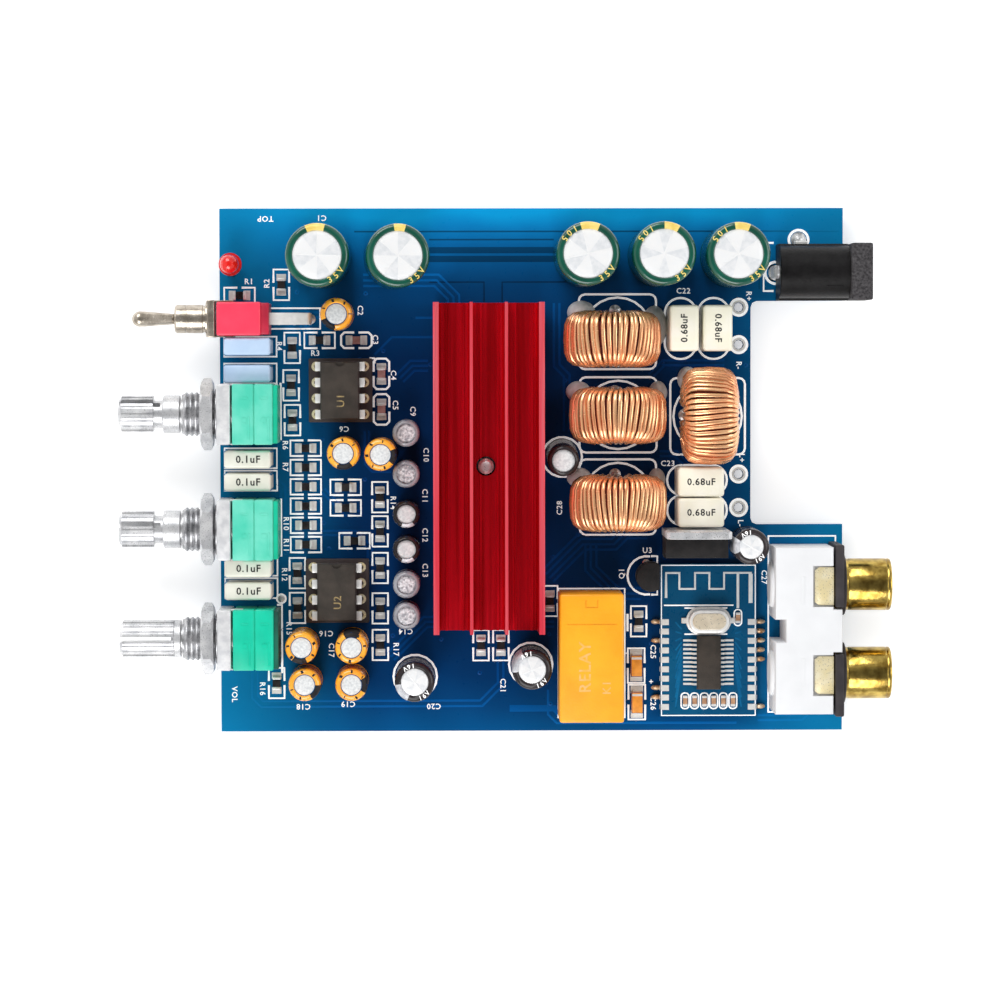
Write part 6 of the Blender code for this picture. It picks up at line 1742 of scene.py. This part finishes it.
# %% Shells, contacts and front plates
TONGUE = ((0.1, -3.0), (0.1, 3.0), (-2.3, 3.0), (-2.95, 2.5), (-2.95, -2.5), (-2.3, -3.0))
CONTACT_TUBE = [
    (1.6, 1.2), (1.6, 7.7), (1.75, 8.0), (1.95, 7.95), (2.0, 7.6), (2.0, 0.6), (0.0, 0.6), (0.0, 1.2),
    (1.6, 1.2),
]
PLATE_RING = [(4.45, 1.5), (4.45, 2.2), (4.75, 2.2), (4.9, 2.05), (4.9, 1.5), (4.45, 1.5)]
for name, side in (("upper", 1), ("lower", -1)):
    y = SOCKETS[name]
    reach = limits(f"rca_shell_{name}")[1].x - RCA_FRONT
    shell = lathe([
        (3.9, -0.4), (4.15, -0.3), (4.15, 2.4), (4.1, 2.5), (4.1, 2.7), (4.15, 2.8), (4.15, reach - 0.8),
        (4.08, reach - 0.7), (4.15, reach - 0.55), *arc((3.8, reach - 0.35), 0.35, 0, 90, 6),
        (3.6, reach - 0.1), (3.5, reach - 0.4), (3.5, -0.35), (3.9, -0.4),
    ], 64)
    laid_right(shell, RCA_FRONT, y, RCA_AXIS)
    # The tongue takes the second, paler gold: a painted highlight on the shell's own plating.
    add(shell, stamped(TONGUE, 11.45, 11.8, 0.1, 2), (RCA_FRONT, y, 0.0), material=1)
    neck_low = (RCA_FRONT - 0.35, y - 3.0, RCA_AXIS + 3.6)
    add(shell, standing(neck_low, (RCA_FRONT + 0.1, y + 3.0, 11.75), 0.1, 2))
    keep(shell, f"phono_shell_{name}", "gold gold_leaf", f"rca_shell_{name}", smooth=32.0)

    contact = lathe(CONTACT_TUBE, 36)
    for half_x, half_y in ((0.14, 3.0), (3.0, 0.14)):
        contact = carve(contact, standing((-half_x, -half_y, 4.4), (half_x, half_y, 9.0)))
    laid_right(contact, RCA_FRONT, y, RCA_AXIS)
    keep(contact, f"phono_contact_{name}", "gold", f"rca_contact_{name}", smooth=32.0)

    low, high = limits(f"rca_front_plate_{name}")
    near, far = sorted((RCA_Y + side * 3.7, high.y if side > 0 else low.y))
    plate = standing((RCA_FRONT + 0.3, near, low.z), (RCA_FRONT + 1.7, far, high.z), 0.25, 2)
    plate = carve(plate, laid_right(rod(4.45, -5.0, 5.0, 48), RCA_FRONT, y, RCA_AXIS))
    add(plate, laid_right(lathe(PLATE_RING, 56), RCA_FRONT, y, RCA_AXIS))
    keep(plate, f"phono_plate_{name}", "plate_plastic", f"rca_front_plate_{name}", smooth=32.0)
print("phono sockets done")

# %% [markdown]
# ## Solder joints
#
# Underneath, each lead ends in a cone of solder with a hollow flank, and a stub of wire stands
# out of it. The frame has the large joints, and their places are read from its lowest corners.
# The other leads of the capacitors, sockets, relay and potentiometers get smaller ones.

# %% Joints under the board
board = frame["nodes"]["circuit_board"]
corners = [(board.matrix_world @ v.co - ORIGIN) / MM for v in board.data.vertices]
floor_level = min(point.z for point in corners)
clusters = []
for point in corners:
    if point.z < floor_level + 0.01:
        near = [c for c in clusters if (c[0] - point).length < 0.9]
        if near:
            near[0].append(point)
        else:
            clusters.append([point])
large_joints = [sum(cluster, Vector()) / len(cluster) for cluster in clusters]

leads = []  # place, and how far the leads are from it to both sides along X or along Y
for name, count, reach in (("reservoir", 5, 2.5), ("smoothing", 4, 1.25)):
    leads += [(*middle(f"{name}_capacitor_{index + 1}").xy, reach, 0.0) for index in range(count)]
leads += [(x, y, 1.0, 0.0) for x, y, _ in ORANGE_CANS]
leads += [(SMALL_X, y, 0.9, 0.0) for y in SMALL_YS]
leads += [(FILM_X, y, 2.5, 0.0) for y in BLUE_FILMS + WHITE_FILMS]
leads += [(23.95, 22.7, 0.0, 2.5), (29.25, 22.7, 0.0, 2.5), (26.6, -1.65, 2.5, 0.0), (26.6, -6.5, 2.5, 0.0)]
small_joints = [(x + way * along, y + way * across) for x, y, along, across in leads for way in (-1, 1)]
small_joints += [(x, y) for index in (1, 2) for x, y, _ in contacts_of(index)]
small_joints += [(-47.2, middle(f"{name}_pot_nut").y + row) for name, *_ in POTS for row in (-2.5, 0.0, 2.5)]
small_joints += [(relay.x + x, relay.y + y) for x in (-3.75, 3.75) for y in (-8.4, -0.8, 4.3, 8.4)]
small_joints = [
    p for p in small_joints if all((Vector(p) - joint.xy).length >= 1.9 for joint in large_joints)
]

UNDER = -BOARD_THICKNESS
LARGE_CONE = [(radius, floor_level + up) for radius, up in (
    (0.0, 0.0), (0.36, 0.0), (0.45, 0.06), (0.62, 0.35),
)]
LARGE_CONE += [(radius, UNDER + up) for radius, up in (
    (0.82, -0.55), (1.0, -0.22), (1.3, -0.03), (1.3, 0.05), (0.0, 0.05),
)]
SMALL_CONE = [(radius, UNDER + up) for radius, up in (
    (0.0, -1.3), (0.22, -1.28), (0.27, -0.95), (0.4, -0.55), (0.6, -0.22), (0.86, -0.02), (0.86, 0.05),
    (0.0, 0.05),
)]
joints = copies(lambda: lathe(LARGE_CONE, 20), [(joint.x, joint.y, 0.0) for joint in large_joints])
add(joints, copies(lambda: lathe(SMALL_CONE, 16), [(x, y, 0.0) for x, y in small_joints]))
keep(joints, "solder_joints", "solder", smooth=45.0)
print(len(large_joints), "large and", len(small_joints), "small joints")

# %% [markdown]
# ## Soldered rings on top
#
# A few leads show on top beside their parts: the wire ends of the chokes, the legs of the
# transistor and the blades of the jack. Each has a tinned ring filled with solder, and the jack's
# have a white printed ring round them.

# %% Rings, domes and white circles
VISIBLE_LEADS = (  # place, radius of the solder
    (13.4, 25.6, 0.95), (13.4, 12.7, 0.95), (13.4, -0.7, 0.95), (24.5, 8.8, 0.95), (18.4, -15.0, 0.62),
    (18.4, -18.8, 0.62), (42.9, 36.9, 1.25), (39.3, 31.6, 1.25), (-35.4, 24.3, 0.8), (-40.3, -20.6, 0.6),
)
WHITE_RINGS = [(42.9, 36.9, 1.75), (39.3, 31.6, 1.95), (-40.3, -20.6, 0.85)]
WHITE_RINGS += [(x, y, 1.52) for x, y in SPEAKER_PADS]
rings_on_top, white_rings = bmesh.new(), bmesh.new()
for x, y, radius in VISIBLE_LEADS:
    add(rings_on_top, lathe([
        (0.0, 0.62), (0.25, 0.6), (0.32, 0.34), (radius * 0.6, 0.2), (radius * 0.95, 0.1), (radius, 0.0),
        (0.0, 0.0),
    ], 24, (x, y, 0.0)))
for x, y, radius in WHITE_RINGS:
    add(white_rings, washer(radius, radius - 0.4, 0.0, 0.07), (x, y, 0.0))
keep(rings_on_top, "soldered_rings", "solder", smooth=45.0)
keep(white_rings, "printed_rings", "white_ink")
print(len(VISIBLE_LEADS), "leads show on top")

# %% Sizes and finish
print(len(pieces_made), "pieces,", sum(pieces_made.values()), "faces")
